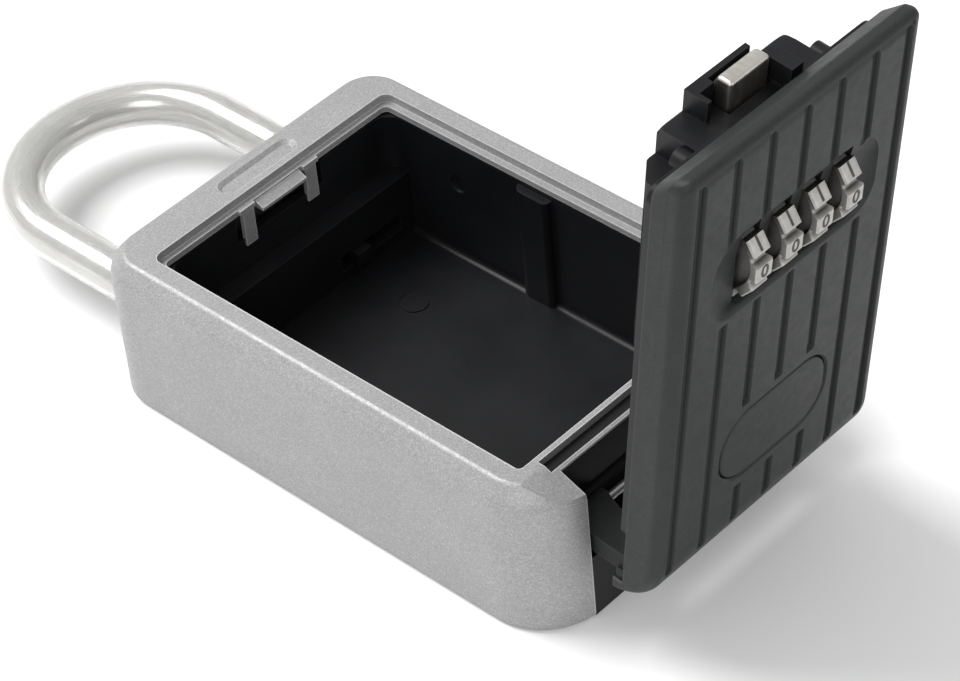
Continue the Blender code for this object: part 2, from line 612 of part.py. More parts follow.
def lock_housing(black, door):
    """The door's back plate with the box that covers the dials, the latch guide and its lugs."""
    low_u, high_u, low_n = PLATE
    plate_outline = round_outline(PLATE_HALF_WIDTH, low_u, high_u, 1.5, 6.0, 4)
    plate = object_from("lock_housing", prism_mesh(plate_outline, low_n, DOOR_BACK - GAP), black, door)
    box_w, box_low, box_high, box_n = LOCK_BOX
    slope_in, slope_height = LOCK_BOX_SLOPE
    levels = ((slope_in, box_n), (0.0, box_n + slope_height), (0.0, low_n + 1))
    box = []
    for inset, level_n in levels:
        outline = round_outline(box_w - inset, box_low, box_high, 3.0, 5.0, 4)
        box.append([(x, u, level_n) for x, u in outline])
    join(plate, object_from("lock_box", loft_mesh(box), None, door))
    for side, name in ((-1, "shoulder_left"), (1, "shoulder_right")):
        low_x, high_x = sorted((side * SHOULDER[0], side * (box_w + 1)))
        low = (low_x, SHOULDER[1], box_n - 1)
        cut(plate, box_tool(name, low, (high_x, box_high + 1, low_n - 0.01), door))

    # The latch guide: a back wall on the left and a cheek on the right, open towards the face.
    latch_left, latch_right, latch_top, latch_low = LATCH_BOX
    bolt_w = BOLT_HALF_WIDTH + 0.4
    low, high = BOLT_N[0] - 0.4, BOLT_N[1] + 0.4
    cheek_x, cheek_low, cheek_high = LATCH_CHEEK
    root_u = box_high - 6
    join(plate, box_tool("latch_box", (-latch_left, root_u, latch_low), (latch_right, latch_top, 9.3), door))
    join(plate, box_tool("latch_cheek", (cheek_x, root_u, 9.0), (latch_right, latch_top, cheek_high), door))
    pocket_high = (cheek_x - 0.1, latch_top + 2, DOOR_BACK + 1)
    cut(plate, box_tool("latch_pocket", (1 - latch_left, box_high - GAP, low + 1.4), pocket_high, door))
    step_low = (bolt_w, box_high + 0.4, latch_low - 1)
    cut(plate, box_tool("cheek_step", step_low, (latch_right + 1, latch_top + 2, cheek_low), door))
    for side, name in ((-1, "lug_left"), (1, "lug_right")):
        centre = (side * LUG[0], LUG[1], (LUG_N[0] + LUG_N[1]) / 2)
        join(plate, round_tool(name, centre, "Z", LUG[2], LUG_N[1] - LUG_N[0], door, 16))

    # The room for the dials, open through the plate.
    room_w, room_h = DIAL_ROOM
    room_low = (-room_w, DIAL_U - room_h, box_n + LOCK_BOX_WALL)
    cut(plate, box_tool("dial_room", room_low, (room_w, DIAL_U + room_h, DOOR_BACK + 1), door))
    # The latch chamber and the channel that the bolt runs in.
    half, chamber_low, chamber_high = CHAMBER
    cut(plate, box_tool("latch_chamber", (-half, chamber_low, low), (half, chamber_high, high), door))
    cut(plate, box_tool("bolt_channel", (-bolt_w, 94.0, low), (bolt_w, latch_top + 2, high), door))
    cut(plate, box_tool("link_slot", (8.0, 84.8, high - 1), (12.4, 93.4, DOOR_BACK + 1), door))
    for number, (x, u) in enumerate(screw_places(), 1):
        cut(plate, round_tool(f"plate_hole_{number}", (x, u, low_n), "Z", SCREW_BORE, 10.0, door, 12))
        cut(plate, round_tool(f"plate_sink_{number}", (x, u, low_n), "Z", 2.9, 3.0, door, 16))
    # Two brackets carry the dial axle.
    inner, outer, half_height = AXLE_BRACKET
    for side, name in ((-1, "bracket_left"), (1, "bracket_right")):
        low_x, high_x = sorted((side * inner, side * outer))
        bracket_low = (low_x, DIAL_U - half_height, box_n + 1)
        bracket_high = (high_x, DIAL_U + half_height, DIAL_N + 1.9)
        join(plate, box_tool(name, bracket_low, bracket_high, door))
    cut(plate, round_tool("axle_bore", (0, DIAL_U, DIAL_N), "X", AXLE_RADIUS + GAP, 40.0, door, 16))
    cut(plate, round_tool("lever_bore", (*LEVER_PLACE, box_n), "Z", 1.8, 9.0, door, 16))
    smooth(plate)
    return plate


def screw(name, steel, x, u, door):
    """A screw with a low slotted head and a plain shank."""
    head_n = PLATE[2] + 0.1
    thing = object_from(name, cylinder_mesh((x, u, head_n + 0.6), "Z", 2.5, 1.2, 16), steel, door)
    join(thing, round_tool(name + "_shank", (x, u, head_n + 3.4), "Z", 1.25, 5.0, door, 10))
    slot_low = (x - 1.5, u - 0.3, head_n - 1)
    cut(thing, box_tool(name + "_slot", slot_low, (x + 1.5, u + 0.3, head_n + 0.6), door))
    smooth(thing)
    return thing


def dial_wheel(number, grey, hub):
    """A number wheel: ten flats for the digits, with a notch between each pair."""
    half = DIAL_WIDTH / 2
    outline = []
    for position in range(DIAL_NOTCHES):
        middle = 360.0 * position / DIAL_NOTCHES + 18.0
        corners = [(degrees, DIAL_RADIUS) for degrees in (-14.5, -5.0, 5.0, 14.5)]
        corners += [(degrees, DIAL_RADIUS - 1.1) for degrees in (16.0, 20.0)]
        for degrees, radius in corners:
            angle = math.radians(middle + degrees)
            outline.append((radius * math.cos(angle), radius * math.sin(angle)))
    wheel = object_from(f"dial_wheel_{number}", prism_mesh(outline, -half, half, "X"), grey, hub)
    cut(wheel, round_tool(f"wheel_bore_{number}", (0, 0, 0), "X", DIAL_BORE, DIAL_WIDTH + 4, hub, 20))
    smooth(wheel)
    return wheel


def code_sleeve(number, brass, hub):
    """The sleeve inside a wheel, whose gap lets the lock open at one number."""
    half = DIAL_WIDTH / 2 - 0.2
    sleeve = object_from(
        f"code_sleeve_{number}", cylinder_mesh((0, 0, 0), "X", DIAL_BORE - GAP, 2 * half, 20), brass, hub
    )
    cut(sleeve, round_tool(f"sleeve_bore_{number}", (0, 0, 0), "X", AXLE_RADIUS + GAP, 20.0, hub, 16))
    cut(sleeve, box_tool(f"sleeve_key_{number}", (-half - 1, -0.6, 1.0), (-half + 2.0, 0.6, 6.0), hub))
    smooth(sleeve)
    return sleeve


def latch_pieces(steel, grey, door):
    """The bevelled bolt, and the slide that links it to the release button."""
    width = BOLT_HALF_WIDTH
    low, high = BOLT_N
    tail, tip = BOLT_ENDS
    profile = [(tail, low), (tip - BOLT_BEVEL, low), (tip, low + BOLT_BEVEL / 2), (tip, high), (tail, high)]
    bolt = object_from("latch_bolt", prism_mesh(profile, -width, width, "X"), steel, door)
    ear_x, ear_length = BOLT_EARS
    join(bolt, box_tool("bolt_ears", (-ear_x, tail, low), (ear_x, tail + ear_length, high), door))
    smooth(bolt)
    back, front = SLIDE_N
    slide = object_from("release_slide", box_mesh((21.4, 24.0, back), (24.4, 88.6, front)), grey, door)
    join(slide, box_tool("slide_foot", (4.0, 24.0, back), (22.4, 27.5, front), door))
    join(slide, box_tool("slide_arm", (8.6, 87.0, back), (24.4, 90.4, front), door))
    join(slide, box_tool("slide_leg", (8.6, 88.6, high + 0.6), (11.8, 92.9, front), door))
    smooth(slide)
    return bolt, slide


def release_button(black, door):
    half_w, half_h = BUTTON_SIZE
    outline = round_outline(half_w, BUTTON_U - half_h, BUTTON_U + half_h, 7.0, 7.0, 6)
    pad = prism_mesh(outline, DOOR_FRONT - 3.0, DOOR_FRONT - 0.1)
    button = object_from("release_button", pad, black, door)
    smooth(button)
    return button


def reset_lever(grey, door):
    lever_n = LOCK_BOX[3] - GAP
    x, u = LEVER_PLACE
    empty = bpy.data.objects.new("reset_pivot", None)
    bpy.context.scene.collection.objects.link(empty)
    empty.parent = door
    empty.location = (x * MM, u * MM, lever_n * MM)
    lever = object_from("reset_lever", cylinder_mesh((0, 0, -0.8), "Z", 3.4, 1.6, 20), grey, empty)
    join(lever, box_tool("lever_handle", (-1.2, 0.0, -1.6), (1.2, 8.0, 0.0), empty))
    join(lever, round_tool("lever_stem", (0, 0, 1.4), "Z", 1.5, 3.6, empty, 16))
    smooth(lever)
    return lever


def detent_spring(steel, door):
    """A leaf comb: one finger presses on the underside of each dial."""
    low_n = LOCK_BOX[3] + LOCK_BOX_WALL + GAP
    leaf = box_mesh((-16.4, DIAL_U - 9.2, low_n), (16.4, DIAL_U - 1.0, low_n + 0.4))
    spring = object_from("detent_spring", leaf, steel, door)
    for number in range(DIAL_COUNT - 1):
        x = (dial_x(number) + dial_x(number + 1)) / 2
        low = (x - 1.0, DIAL_U - 6.0, low_n - 1)
        cut(spring, box_tool(f"comb_gap_{number + 1}", low, (x + 1.0, DIAL_U + 1.0, low_n + 2), door))
    return spring


def build():
    clear_scene()
    silver = material("silver_paint", (0.52, 0.53, 0.54), 0.45, 0.55)
    black = material("black_plastic", (0.015, 0.016, 0.017), 0.5, 0.0)
    charcoal = material("charcoal_casting", (0.045, 0.047, 0.05), 0.5, 0.0)
    steel = material("bright_steel", (0.62, 0.62, 0.6), 0.25, 1.0)
    clear = material("clear_vinyl", (0.86, 0.88, 0.88), 0.12, 0.0)
    grey = material("dial_grey", (0.5, 0.49, 0.46), 0.45, 0.0)
    nickel = material("bolt_nickel", (0.66, 0.62, 0.56), 0.3, 1.0)

    case_shell(silver)
    inner_tray(black)
    shackle_housing(black)
    shackle_slider(black)
    coil("slider_spring", steel, (17.6, 46.0, 7.2), "X", 1.2, 0.3, 9.0, 5)
    shackle_bar(steel)
    shackle_sleeve(clear)
    pin = cylinder_mesh((0, HINGE_Y, HINGE_Z), "X", HINGE_PIN_RADIUS, 66.0, 12)
    smooth(object_from("hinge_pin", pin, steel))

    door = bpy.data.objects.new("door_hinge", None)
    bpy.context.scene.collection.objects.link(door)
    door.location = (0.0, HINGE_Y * MM, HINGE_Z * MM)
    door.rotation_euler = (math.radians(OPEN_ANGLE), 0.0, 0.0)
    door_shell(charcoal, door)
    lock_housing(black, door)
    for number, (x, u) in enumerate(screw_places(), 1):
        screw(f"back_screw_{number}", steel, x, u, door)
    axle = cylinder_mesh((0, DIAL_U, DIAL_N), "X", AXLE_RADIUS, AXLE_LENGTH, 16)
    smooth(object_from("dial_axle", axle, steel, door))
    for number in range(DIAL_COUNT):
        hub = bpy.data.objects.new(f"dial_hub_{number + 1}", None)
        bpy.context.scene.collection.objects.link(hub)
        hub.parent = door
        hub.location = (dial_x(number) * MM, DIAL_U * MM, DIAL_N * MM)
        dial_wheel(number + 1, grey, hub)
        code_sleeve(number + 1, nickel, hub)
    detent_spring(steel, door)
    latch_pieces(nickel, grey, door)
    for side, name in ((-1, "latch_spring_left"), (1, "latch_spring_right")):
        coil(name, steel, (side * 8.2, 85.4, 7.65), "Y", 1.4, 0.3, 3.2, 3, door)
    release_button(charcoal, door)
    coil("button_spring", steel, (-6.0, BUTTON_U, DOOR_BACK + 0.2), "Z", 2.4, 0.35, 2.6, 2, door)
    reset_lever(grey, door)


build()
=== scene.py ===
"""The finished look of the key lock box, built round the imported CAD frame.

Lengths are in millimetres and become metres in piece(). The box lies on its back with
+Z up and +Y towards the shackle. Pieces on the door are modelled shut, in the frame of
the hinge axis as (x, u, n): u runs from the hinge to the free end and n out of the face.
"""

import json
import math

import bmesh
import bpy
from mathutils import Matrix, Vector


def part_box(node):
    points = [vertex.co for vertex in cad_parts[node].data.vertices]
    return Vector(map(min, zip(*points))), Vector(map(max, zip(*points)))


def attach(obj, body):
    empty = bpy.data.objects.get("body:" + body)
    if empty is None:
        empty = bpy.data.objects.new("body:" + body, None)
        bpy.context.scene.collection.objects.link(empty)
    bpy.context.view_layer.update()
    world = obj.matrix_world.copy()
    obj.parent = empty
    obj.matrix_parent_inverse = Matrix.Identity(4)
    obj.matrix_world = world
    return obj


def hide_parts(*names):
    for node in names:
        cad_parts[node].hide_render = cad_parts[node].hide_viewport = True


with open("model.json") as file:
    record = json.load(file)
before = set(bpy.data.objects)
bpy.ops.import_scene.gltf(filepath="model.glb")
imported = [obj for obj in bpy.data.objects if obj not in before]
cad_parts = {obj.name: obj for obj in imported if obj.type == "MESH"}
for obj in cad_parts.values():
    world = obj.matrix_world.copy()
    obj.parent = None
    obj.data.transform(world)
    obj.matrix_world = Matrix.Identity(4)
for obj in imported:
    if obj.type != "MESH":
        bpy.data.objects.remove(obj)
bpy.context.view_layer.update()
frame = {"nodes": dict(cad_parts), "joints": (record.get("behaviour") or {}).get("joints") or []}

MM = 0.001
JOINTS = {joint["name"]: joint for joint in frame["joints"]}


def node_box(node):
    """A CAD node's lowest and highest corner, in millimetres."""
    low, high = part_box(node)
    return low / MM, high / MM


# The case and the tray. The outer size comes from the frame.
CASE_HIGH = node_box("case_shell")[1]
HALF_WIDTH = CASE_HIGH.x
HALF_LENGTH = CASE_HIGH.y
RIM_Z = CASE_HIGH.z
CASE_WALL = 3.0
SHACKLE_CORNER = 10.0
HINGE_CORNER = 14.0
CHAMFER_RUN = 3.0
CHAMFER_DROP = 3.5
RIM_HALF = (33.0, 48.5)
LEDGE_Z = RIM_Z - 1.9
ROOF_Z = LEDGE_Z - 1.3
MOUTH_HALF_X = 31.5
MOUTH_END_Y = 47.2
CHEEK_X = 27.6
BAR_1_END = -49.7
BAR_2_START = -52.9
BAR_2_END = -53.6
BAR_2_UNDER_Z = RIM_Z - 1.5
UNDERCUT_LOW_Z = 20.0
PIN_HOLE = 1.2
STRIKE_REACH = 45.1
TRAY_FLOOR = 3.0
TRAY_TOP = ROOF_Z - 0.3

# The door, in the hinge frame.
HINGE = Vector(JOINTS["door_hinge"]["pos_m"]) / MM
OPEN_ANGLE = math.radians(-JOINTS["door_hinge"]["range_deg"][0])
TO_OPEN = Matrix.Translation(HINGE) @ Matrix.Rotation(OPEN_ANGLE, 4, "X")
DOOR_HALF = 31.0
DOOR_FRONT = 22.5
DOOR_BACK = 15.0
DOOR_TOP = 104.2
DOOR_TOP_BACK = 99.5
ROUND_END = 12.0
DOOR_WALL = 2.0
EDGE_ROUND = 2.6
SKIRT_N = DOOR_BACK - 2.2
ARM_SPAN = (18.3, 26.6)
KNUCKLE_RADIUS = 2.6
GROOVE_PITCH = 9.0
GROOVES = 7
DIALS = 4
TO_SHUT = TO_OPEN.inverted()
DIAL_PLACES = [Vector(JOINTS[f"dial_{number}_turn"]["pos_m"]) for number in range(1, DIALS + 1)]
DIAL_CENTRES = [TO_SHUT @ (place_m / MM) for place_m in DIAL_PLACES]
DIAL_LOW, DIAL_HIGH = node_box("dial_wheel_1")
DIAL_WIDTH = DIAL_HIGH.x - DIAL_LOW.x
DIAL_RADIUS = (DIAL_HIGH.y - DIAL_LOW.y) / 2
DIAL_U = DIAL_CENTRES[0].y
DIAL_N = DIAL_CENTRES[0].z
RECESS = (22.4, 9.9, 1.7)
BUTTON_U = 25.0
BUTTON_HALF = (14.6, 8.4)
BUTTON_CORNER = 7.4
PLATE = (10.2, 96.8, 12.7)
PLATE_HALF = 29.6
LOCK_BOX = (22.8, 48.0, 96.0, 3.8)
SHOULDER = (16.4, 90.0)
LUG = (18.0, 94.0, 2.1)
DIAL_ROOM = (18.6, 9.6)
BOLT_CHAMBER = (11.0, 85.2, 94.9)
AXLE_BRACKET = (16.8, 19.6, 3.0)
AXLE_HOLE = 1.8
LEVER_PLACE = (-12.0, 56.0)
LEVER_HOLE = 1.8
SCREW_HOLE = 1.6
SCREW_SINK = 2.9
LATCH_TOP = 100.6
LATCH_SIDES = (-10.3, 8.8)
BOLT_HALF = 5.2
BOLT_N = (5.6, 10.0)
BOLT_ENDS = (92.0, 101.9)
SCREWS = ((-26.5, 14.0), (26.5, 14.0), (-26.5, 93.2), (26.5, 93.2))

# The shackle.
SHACKLE_X = 24.8
SHACKLE_Z = 13.0
SHACKLE_BEND_Y = 91.7
BAR_RADIUS = 4.0
SLEEVE_RADIUS = 5.1
SLEEVE_BORE = 4.15


# ---------------------------------------------------------------- shape helpers

WELD_DISTANCE = 1e-4
MERGE_DISTANCE = 0.0005
FLAT_ANGLE = 0.4
SMOOTH_ANGLE = 38.0


def box_mesh(low, high):
    edit = bmesh.new()
    size = Vector(high) - Vector(low)
    middle = (Vector(high) + Vector(low)) / 2
    stretch = Matrix.Diagonal((*size, 1.0))
    bmesh.ops.create_cube(edit, size=1.0, matrix=Matrix.Translation(middle) @ stretch)
    return edit


TURNS = {
    "X": Matrix.Rotation(math.pi / 2, 4, "Y"),
    "Y": Matrix.Rotation(-math.pi / 2, 4, "X"),
    "Z": Matrix.Identity(4),
}


def round_mesh(centre, axis, radius, length, sides=48, far_radius=None):
    edit = bmesh.new()
    bmesh.ops.create_cone(
        edit,
        cap_ends=True,
        segments=sides,
        radius1=radius,
        radius2=radius if far_radius is None else far_radius,
        depth=length,
        matrix=Matrix.Translation(Vector(centre)) @ TURNS[axis],
    )
    return edit


def loft_mesh(rings, closed=False):
    """A solid through rings of equal numbers of points; closed joins the last ring to the first."""
    edit = bmesh.new()
    loops = [[edit.verts.new(point) for point in ring] for ring in rings]
    count = len(rings[0])
    pairs = list(zip(loops, loops[1:]))
    if closed:
        pairs.append((loops[-1], loops[0]))
    else:
        edit.faces.new(loops[0][::-1])
        edit.faces.new(loops[-1])
    for low, high in pairs:
        for i in range(count):
            j = (i + 1) % count
            edit.faces.new((low[i], low[j], high[j], high[i]))
    return edit


def outline_of(half, low_y, high_y, low_radius, high_radius, steps=10, middle=0.0):
    """A rectangle with rounded corners, anticlockwise, as (x, y) points."""
    corners = [
        (half - high_radius, high_y - high_radius, high_radius, 0),
        (high_radius - half, high_y - high_radius, high_radius, 90),
        (low_radius - half, low_y + low_radius, low_radius, 180),
        (half - low_radius, low_y + low_radius, low_radius, 270),
    ]
    points = []
    for x, y, radius, start in corners:
        for step in range(steps + 1):
            angle = math.radians(start + 90 * step / steps)
            points.append((middle + x + radius * math.cos(angle), y + radius * math.sin(angle)))
    return points


def rounded_line(points, radii, steps=4):
    """An open line of (a, b) points whose inner corners become arcs."""
    made = [Vector(points[0])]
    for before, corner, after, radius in zip(points, points[1:], points[2:], radii):
        corner = Vector(corner)
        back = (Vector(before) - corner).normalized()
        on = (Vector(after) - corner).normalized()
        half = back.angle(on) / 2
        centre = corner + (back + on).normalized() * (radius / math.sin(half))
        first = corner + back * (radius / math.tan(half)) - centre
        last = corner + on * (radius / math.tan(half)) - centre
        start = math.atan2(first.y, first.x)
        turn = (math.atan2(last.y, last.x) - start + math.pi) % (2 * math.pi) - math.pi
        for step in range(steps + 1):
            angle = start + turn * step / steps
            made.append(centre + Vector((math.cos(angle), math.sin(angle))) * radius)
    made.append(Vector(points[-1]))
    return made


def prism_mesh(outline, low, high, axis="Z"):
    """An outline swept between two levels. Along X, the outline holds (y, z) pairs."""
    if axis == "Z":
        return loft_mesh([[(a, b, level) for a, b in outline] for level in (low, high)])
    return loft_mesh([[(level, a, b) for a, b in outline] for level in (low, high)])


def raw_object(name, edit):
    bmesh.ops.remove_doubles(edit, verts=edit.verts, dist=WELD_DISTANCE)
    bmesh.ops.recalc_face_normals(edit, faces=edit.faces)
    mesh = bpy.data.meshes.new(name)
    edit.to_mesh(mesh)
    edit.free()
    made = bpy.data.objects.new(name, mesh)
    bpy.context.scene.collection.objects.link(made)
    return made


def apply_modifiers(thing):
    graph = bpy.context.evaluated_depsgraph_get()
    mesh = bpy.data.meshes.new_from_object(thing.evaluated_get(graph))
    thing.modifiers.clear()
    thing.data = mesh


def carve(thing, steps):
    """Runs ("DIFFERENCE" or "UNION", bmesh) steps on a solid, in order, and applies them."""
    tools = []
    for number, (operation, edit) in enumerate(steps):
        tool = raw_object(f"tool_{number}", edit)
        tools.append(tool)
        modifier = thing.modifiers.new(f"step_{number}", "BOOLEAN")
        modifier.operation = operation
        modifier.solver = "EXACT"
        modifier.object = tool
    apply_modifiers(thing)
    for tool in tools:
        bpy.data.objects.remove(tool, do_unlink=True)
    return thing


def cut(edit):
    return ("DIFFERENCE", edit)


def join(edit):
    return ("UNION", edit)


def tidy_mesh(thing):
    """Merges points, drops the triangulation on flat faces and turns the faces out."""
    edit = bmesh.new()
    edit.from_mesh(thing.data)
    bmesh.ops.remove_doubles(edit, verts=edit.verts, dist=MERGE_DISTANCE)
    flat = math.radians(FLAT_ANGLE)
    bmesh.ops.dissolve_limit(edit, angle_limit=flat, verts=edit.verts, edges=edit.edges)
    bmesh.ops.recalc_face_normals(edit, faces=edit.faces)
    edit.to_mesh(thing.data)
    edit.free()


def soften(thing, width, angle=35.0, segments=2):
    modifier = thing.modifiers.new("edges", "BEVEL")
    modifier.width = width
    modifier.segments = segments
    modifier.limit_method = "ANGLE"
    modifier.angle_limit = math.radians(angle)
    modifier.use_clamp_overlap = True
    modifier.miter_outer = "MITER_ARC"
    apply_modifiers(thing)


def finish_mesh(thing, smooth_angle):
    thing.data.shade_smooth()
    thing.data.set_sharp_from_angle(angle=math.radians(smooth_angle))
    modifier = thing.modifiers.new("normals", "WEIGHTED_NORMAL")
    modifier.keep_sharp = True
    apply_modifiers(thing)


def place(thing, material, body, nodes, on_door=False, smooth_angle=SMOOTH_ANGLE):
    """Turns a millimetre mesh into a finished piece of the object."""
    if on_door:
        thing.data.transform(TO_OPEN)
    thing.data.transform(Matrix.Scale(MM, 4))
    thing.data.materials.clear()
    thing.data.materials.append(material)
    finish_mesh(thing, smooth_angle)
    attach(thing, body)
    if nodes:
        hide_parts(*nodes)
    return thing


def copy_of(node, name, door_frame=False):
    """A millimetre copy of a CAD node's mesh, merged and cleaned, to be refined."""
    thing = bpy.data.objects.new(name, frame["nodes"][node].data.copy())
    bpy.context.scene.collection.objects.link(thing)
    thing.data.transform(Matrix.Scale(1 / MM, 4))
    if door_frame:
        thing.data.transform(TO_SHUT)
    if thing.data.has_custom_normals:
        bpy.context.view_layer.objects.active = thing
        with bpy.context.temp_override(object=thing, active_object=thing):
            bpy.ops.mesh.customdata_custom_splitnormals_clear()
    tidy_mesh(thing)
    return thing


# ---------------------------------------------------------------- materials


class Nodes:
    """A short way to write a material's node tree."""

    def __init__(self, name):
        self.material = bpy.data.materials.new(name)
        self.material.use_nodes = True
        self.tree = self.material.node_tree
        self.shader = self.tree.nodes["Principled BSDF"]
        self.place = self.add("ShaderNodeTexCoord").outputs["Object"]

    def add(self, kind, **settings):
        node = self.tree.nodes.new(kind)
        for key, value in settings.items():
            setattr(node, key, value)
        return node

    def link(self, source, target):
        self.tree.links.new(source, target)

    def noise(self, scale, detail=3.0, roughness=0.55, stretch=None):
        node = self.add("ShaderNodeTexNoise")
        node.inputs["Scale"].default_value = scale
        node.inputs["Detail"].default_value = detail
        node.inputs["Roughness"].default_value = roughness
        self.link(self.place if stretch is None else self.stretched(stretch), node.inputs["Vector"])
        return node.outputs["Fac"]

    def stretched(self, scale):
        node = self.add("ShaderNodeMapping")
        node.inputs["Scale"].default_value = scale
        self.link(self.place, node.inputs["Vector"])
        return node.outputs["Vector"]

    def cells(self, scale):
        node = self.add("ShaderNodeTexVoronoi")
        node.inputs["Scale"].default_value = scale
        self.link(self.place, node.inputs["Vector"])
        return node.outputs["Color"]

    def ramp(self, source, stops):
        """stops is a list of (position, grey or colour)."""
        node = self.add("ShaderNodeValToRGB")
        ramp = node.color_ramp
        while len(ramp.elements) < len(stops):
            ramp.elements.new(0.5)
        for element, (position, colour) in zip(ramp.elements, stops):
            element.position = position
            grey = isinstance(colour, (int, float))
            element.color = (colour, colour, colour, 1.0) if grey else (*colour, 1.0)
        self.link(source, node.inputs["Fac"])
        return node.outputs["Color"]

    def mix(self, factor, first, second, blend="MIX"):
        node = self.add("ShaderNodeMix", data_type="RGBA", blend_type=blend)
        # Sockets 0, 6 and 7 are the factor and the two colours of a colour mix; output 2 is its result.
        for index, value in ((0, factor), (6, first), (7, second)):
            socket = node.inputs[index]
            if isinstance(value, bpy.types.NodeSocket):
                self.link(value, socket)
            elif isinstance(value, (int, float)):
                socket.default_value = value
            else:
                socket.default_value = (*value, 1.0)
        return node.outputs[2]

    def math(self, operation, first, second=0.0):
        node = self.add("ShaderNodeMath", operation=operation)
        for socket, value in zip(node.inputs, (first, second)):
            if isinstance(value, bpy.types.NodeSocket):
                self.link(value, socket)
            else:
                socket.default_value = value
        return node.outputs[0]

    def bump(self, height, distance, strength=1.0, under=None):
        node = self.add("ShaderNodeBump")
        node.inputs["Strength"].default_value = strength
        node.inputs["Distance"].default_value = distance
        self.link(height, node.inputs["Height"])
        if under is not None:
            self.link(under, node.inputs["Normal"])
        return node.outputs["Normal"]

    def edge_wear(self, radius, start, stop):
        """0 on open surfaces and 1 on outer edges, from how a rounded normal leans away."""
        bevel = self.add("ShaderNodeBevel", samples=4)
        bevel.inputs["Radius"].default_value = radius
        plain = self.add("ShaderNodeNewGeometry").outputs["Normal"]
        dot = self.add("ShaderNodeVectorMath", operation="DOT_PRODUCT")
        self.link(bevel.outputs["Normal"], dot.inputs[0])
        self.link(plain, dot.inputs[1])
        lean = self.math("SUBTRACT", 1.0, dot.outputs["Value"])
        node = self.add("ShaderNodeMapRange", interpolation_type="SMOOTHSTEP")
        node.inputs["From Min"].default_value = start
        node.inputs["From Max"].default_value = stop
        self.link(lean, node.inputs["Value"])
        return node.outputs["Result"]

    def set(self, **values):
        for key, value in values.items():
            socket = self.shader.inputs[key.replace("_", " ")]
            if isinstance(value, bpy.types.NodeSocket):
                self.link(value, socket)
            else:
                socket.default_value = value
        return self.material


def silver_paint():
    """Satin silver paint over a zinc casting: fine flake, soft orange peel, and paler edges that are
    partly wear and partly a painted highlight.
    """
    n = Nodes("silver_paint_finish")
    flake = n.cells(5200.0)
    grey = n.ramp(flake, [(0.0, 0.24), (0.55, 0.30), (0.9, 0.375), (1.0, 0.52)])
    cloud = n.ramp(n.noise(90.0, 2.0), [(0.3, 0.94), (0.7, 1.0)])
    speck = n.ramp(n.noise(2600.0, 2.0, 0.7), [(0.3, 0.86), (0.5, 1.0), (0.72, 1.12)])
    colour = n.mix(1.0, n.mix(1.0, grey, cloud, "MULTIPLY"), speck, "MULTIPLY")
    # Paler edges: partly bare-metal wear, partly a painted highlight where rims, lips and bar tops
    # catch the light.
    edge_tint = n.math("MULTIPLY", n.edge_wear(0.0005, 0.02, 0.22), 0.75)
    colour = n.mix(edge_tint, colour, (0.74, 0.74, 0.74))
    rough = n.ramp(n.noise(800.0, 2.0), [(0.3, 0.42), (0.7, 0.54)])
    peel = n.bump(n.noise(1500.0, 2.0, 0.6), 0.00003, 0.5)
    glint = n.bump(flake, 0.00002, 0.35, peel)
    return n.set(
        Base_Color=colour, Roughness=rough, Metallic=0.3, Normal=glint, Specular_IOR_Level=0.5
    )


def charcoal_paint():
    """Black satin powder coat on the door: fine grain, edges rubbed to a dark grey."""
    n = Nodes("charcoal_finish")
    grain = n.noise(2600.0, 3.0, 0.65)
    tone = n.ramp(grain, [(0.3, (0.0175, 0.0183, 0.0187)), (0.7, (0.0270, 0.0280, 0.0286))])
    cloud = n.ramp(n.noise(60.0, 3.0), [(0.3, 0.93), (0.7, 1.05)])
    colour = n.mix(1.0, tone, cloud, "MULTIPLY")
    edge_tint = n.math("MULTIPLY", n.edge_wear(0.0006, 0.03, 0.3), 0.5)
    colour = n.mix(edge_tint, colour, (0.085, 0.085, 0.085))
    rough = n.ramp(n.noise(500.0, 3.0), [(0.3, 0.42), (0.7, 0.52)])
    relief = n.bump(grain, 0.00005, 0.45)
    return n.set(Base_Color=colour, Roughness=rough, Normal=relief, Specular_IOR_Level=0.17)


def black_plastic():
    """Moulded black plastic: fine spark texture, faint flow marks and dust."""
    n = Nodes("black_plastic_finish")
    spark = n.noise(2200.0, 3.0, 0.6)
    flow = n.noise(45.0, 4.0, 0.6)
    dust = n.ramp(n.noise(3800.0, 1.0, 0.5), [(0.66, 0.0), (0.78, 1.0)])
    colour = n.ramp(flow, [(0.3, (0.0050, 0.0053, 0.0062)), (0.7, (0.0085, 0.0088, 0.0100))])
    colour = n.mix(n.math("MULTIPLY", dust, 0.08), colour, (0.07, 0.07, 0.07))
    edge_tint = n.math("MULTIPLY", n.edge_wear(0.0005, 0.03, 0.3), 0.35)
    colour = n.mix(edge_tint, colour, (0.04, 0.04, 0.043))
    rough = n.ramp(flow, [(0.3, 0.32), (0.7, 0.44)])
    relief = n.bump(spark, 0.00003, 0.4)
    return n.set(Base_Color=colour, Roughness=rough, Normal=relief, Specular_IOR_Level=0.22)


def grey_plastic():
    n = Nodes("grey_plastic_finish")
    colour = n.ramp(n.noise(120.0, 3.0), [(0.3, (0.10, 0.10, 0.10)), (0.7, (0.14, 0.14, 0.138))])
    return n.set(Base_Color=colour, Roughness=0.5, Normal=n.bump(n.noise(2200.0), 0.00003, 0.4))


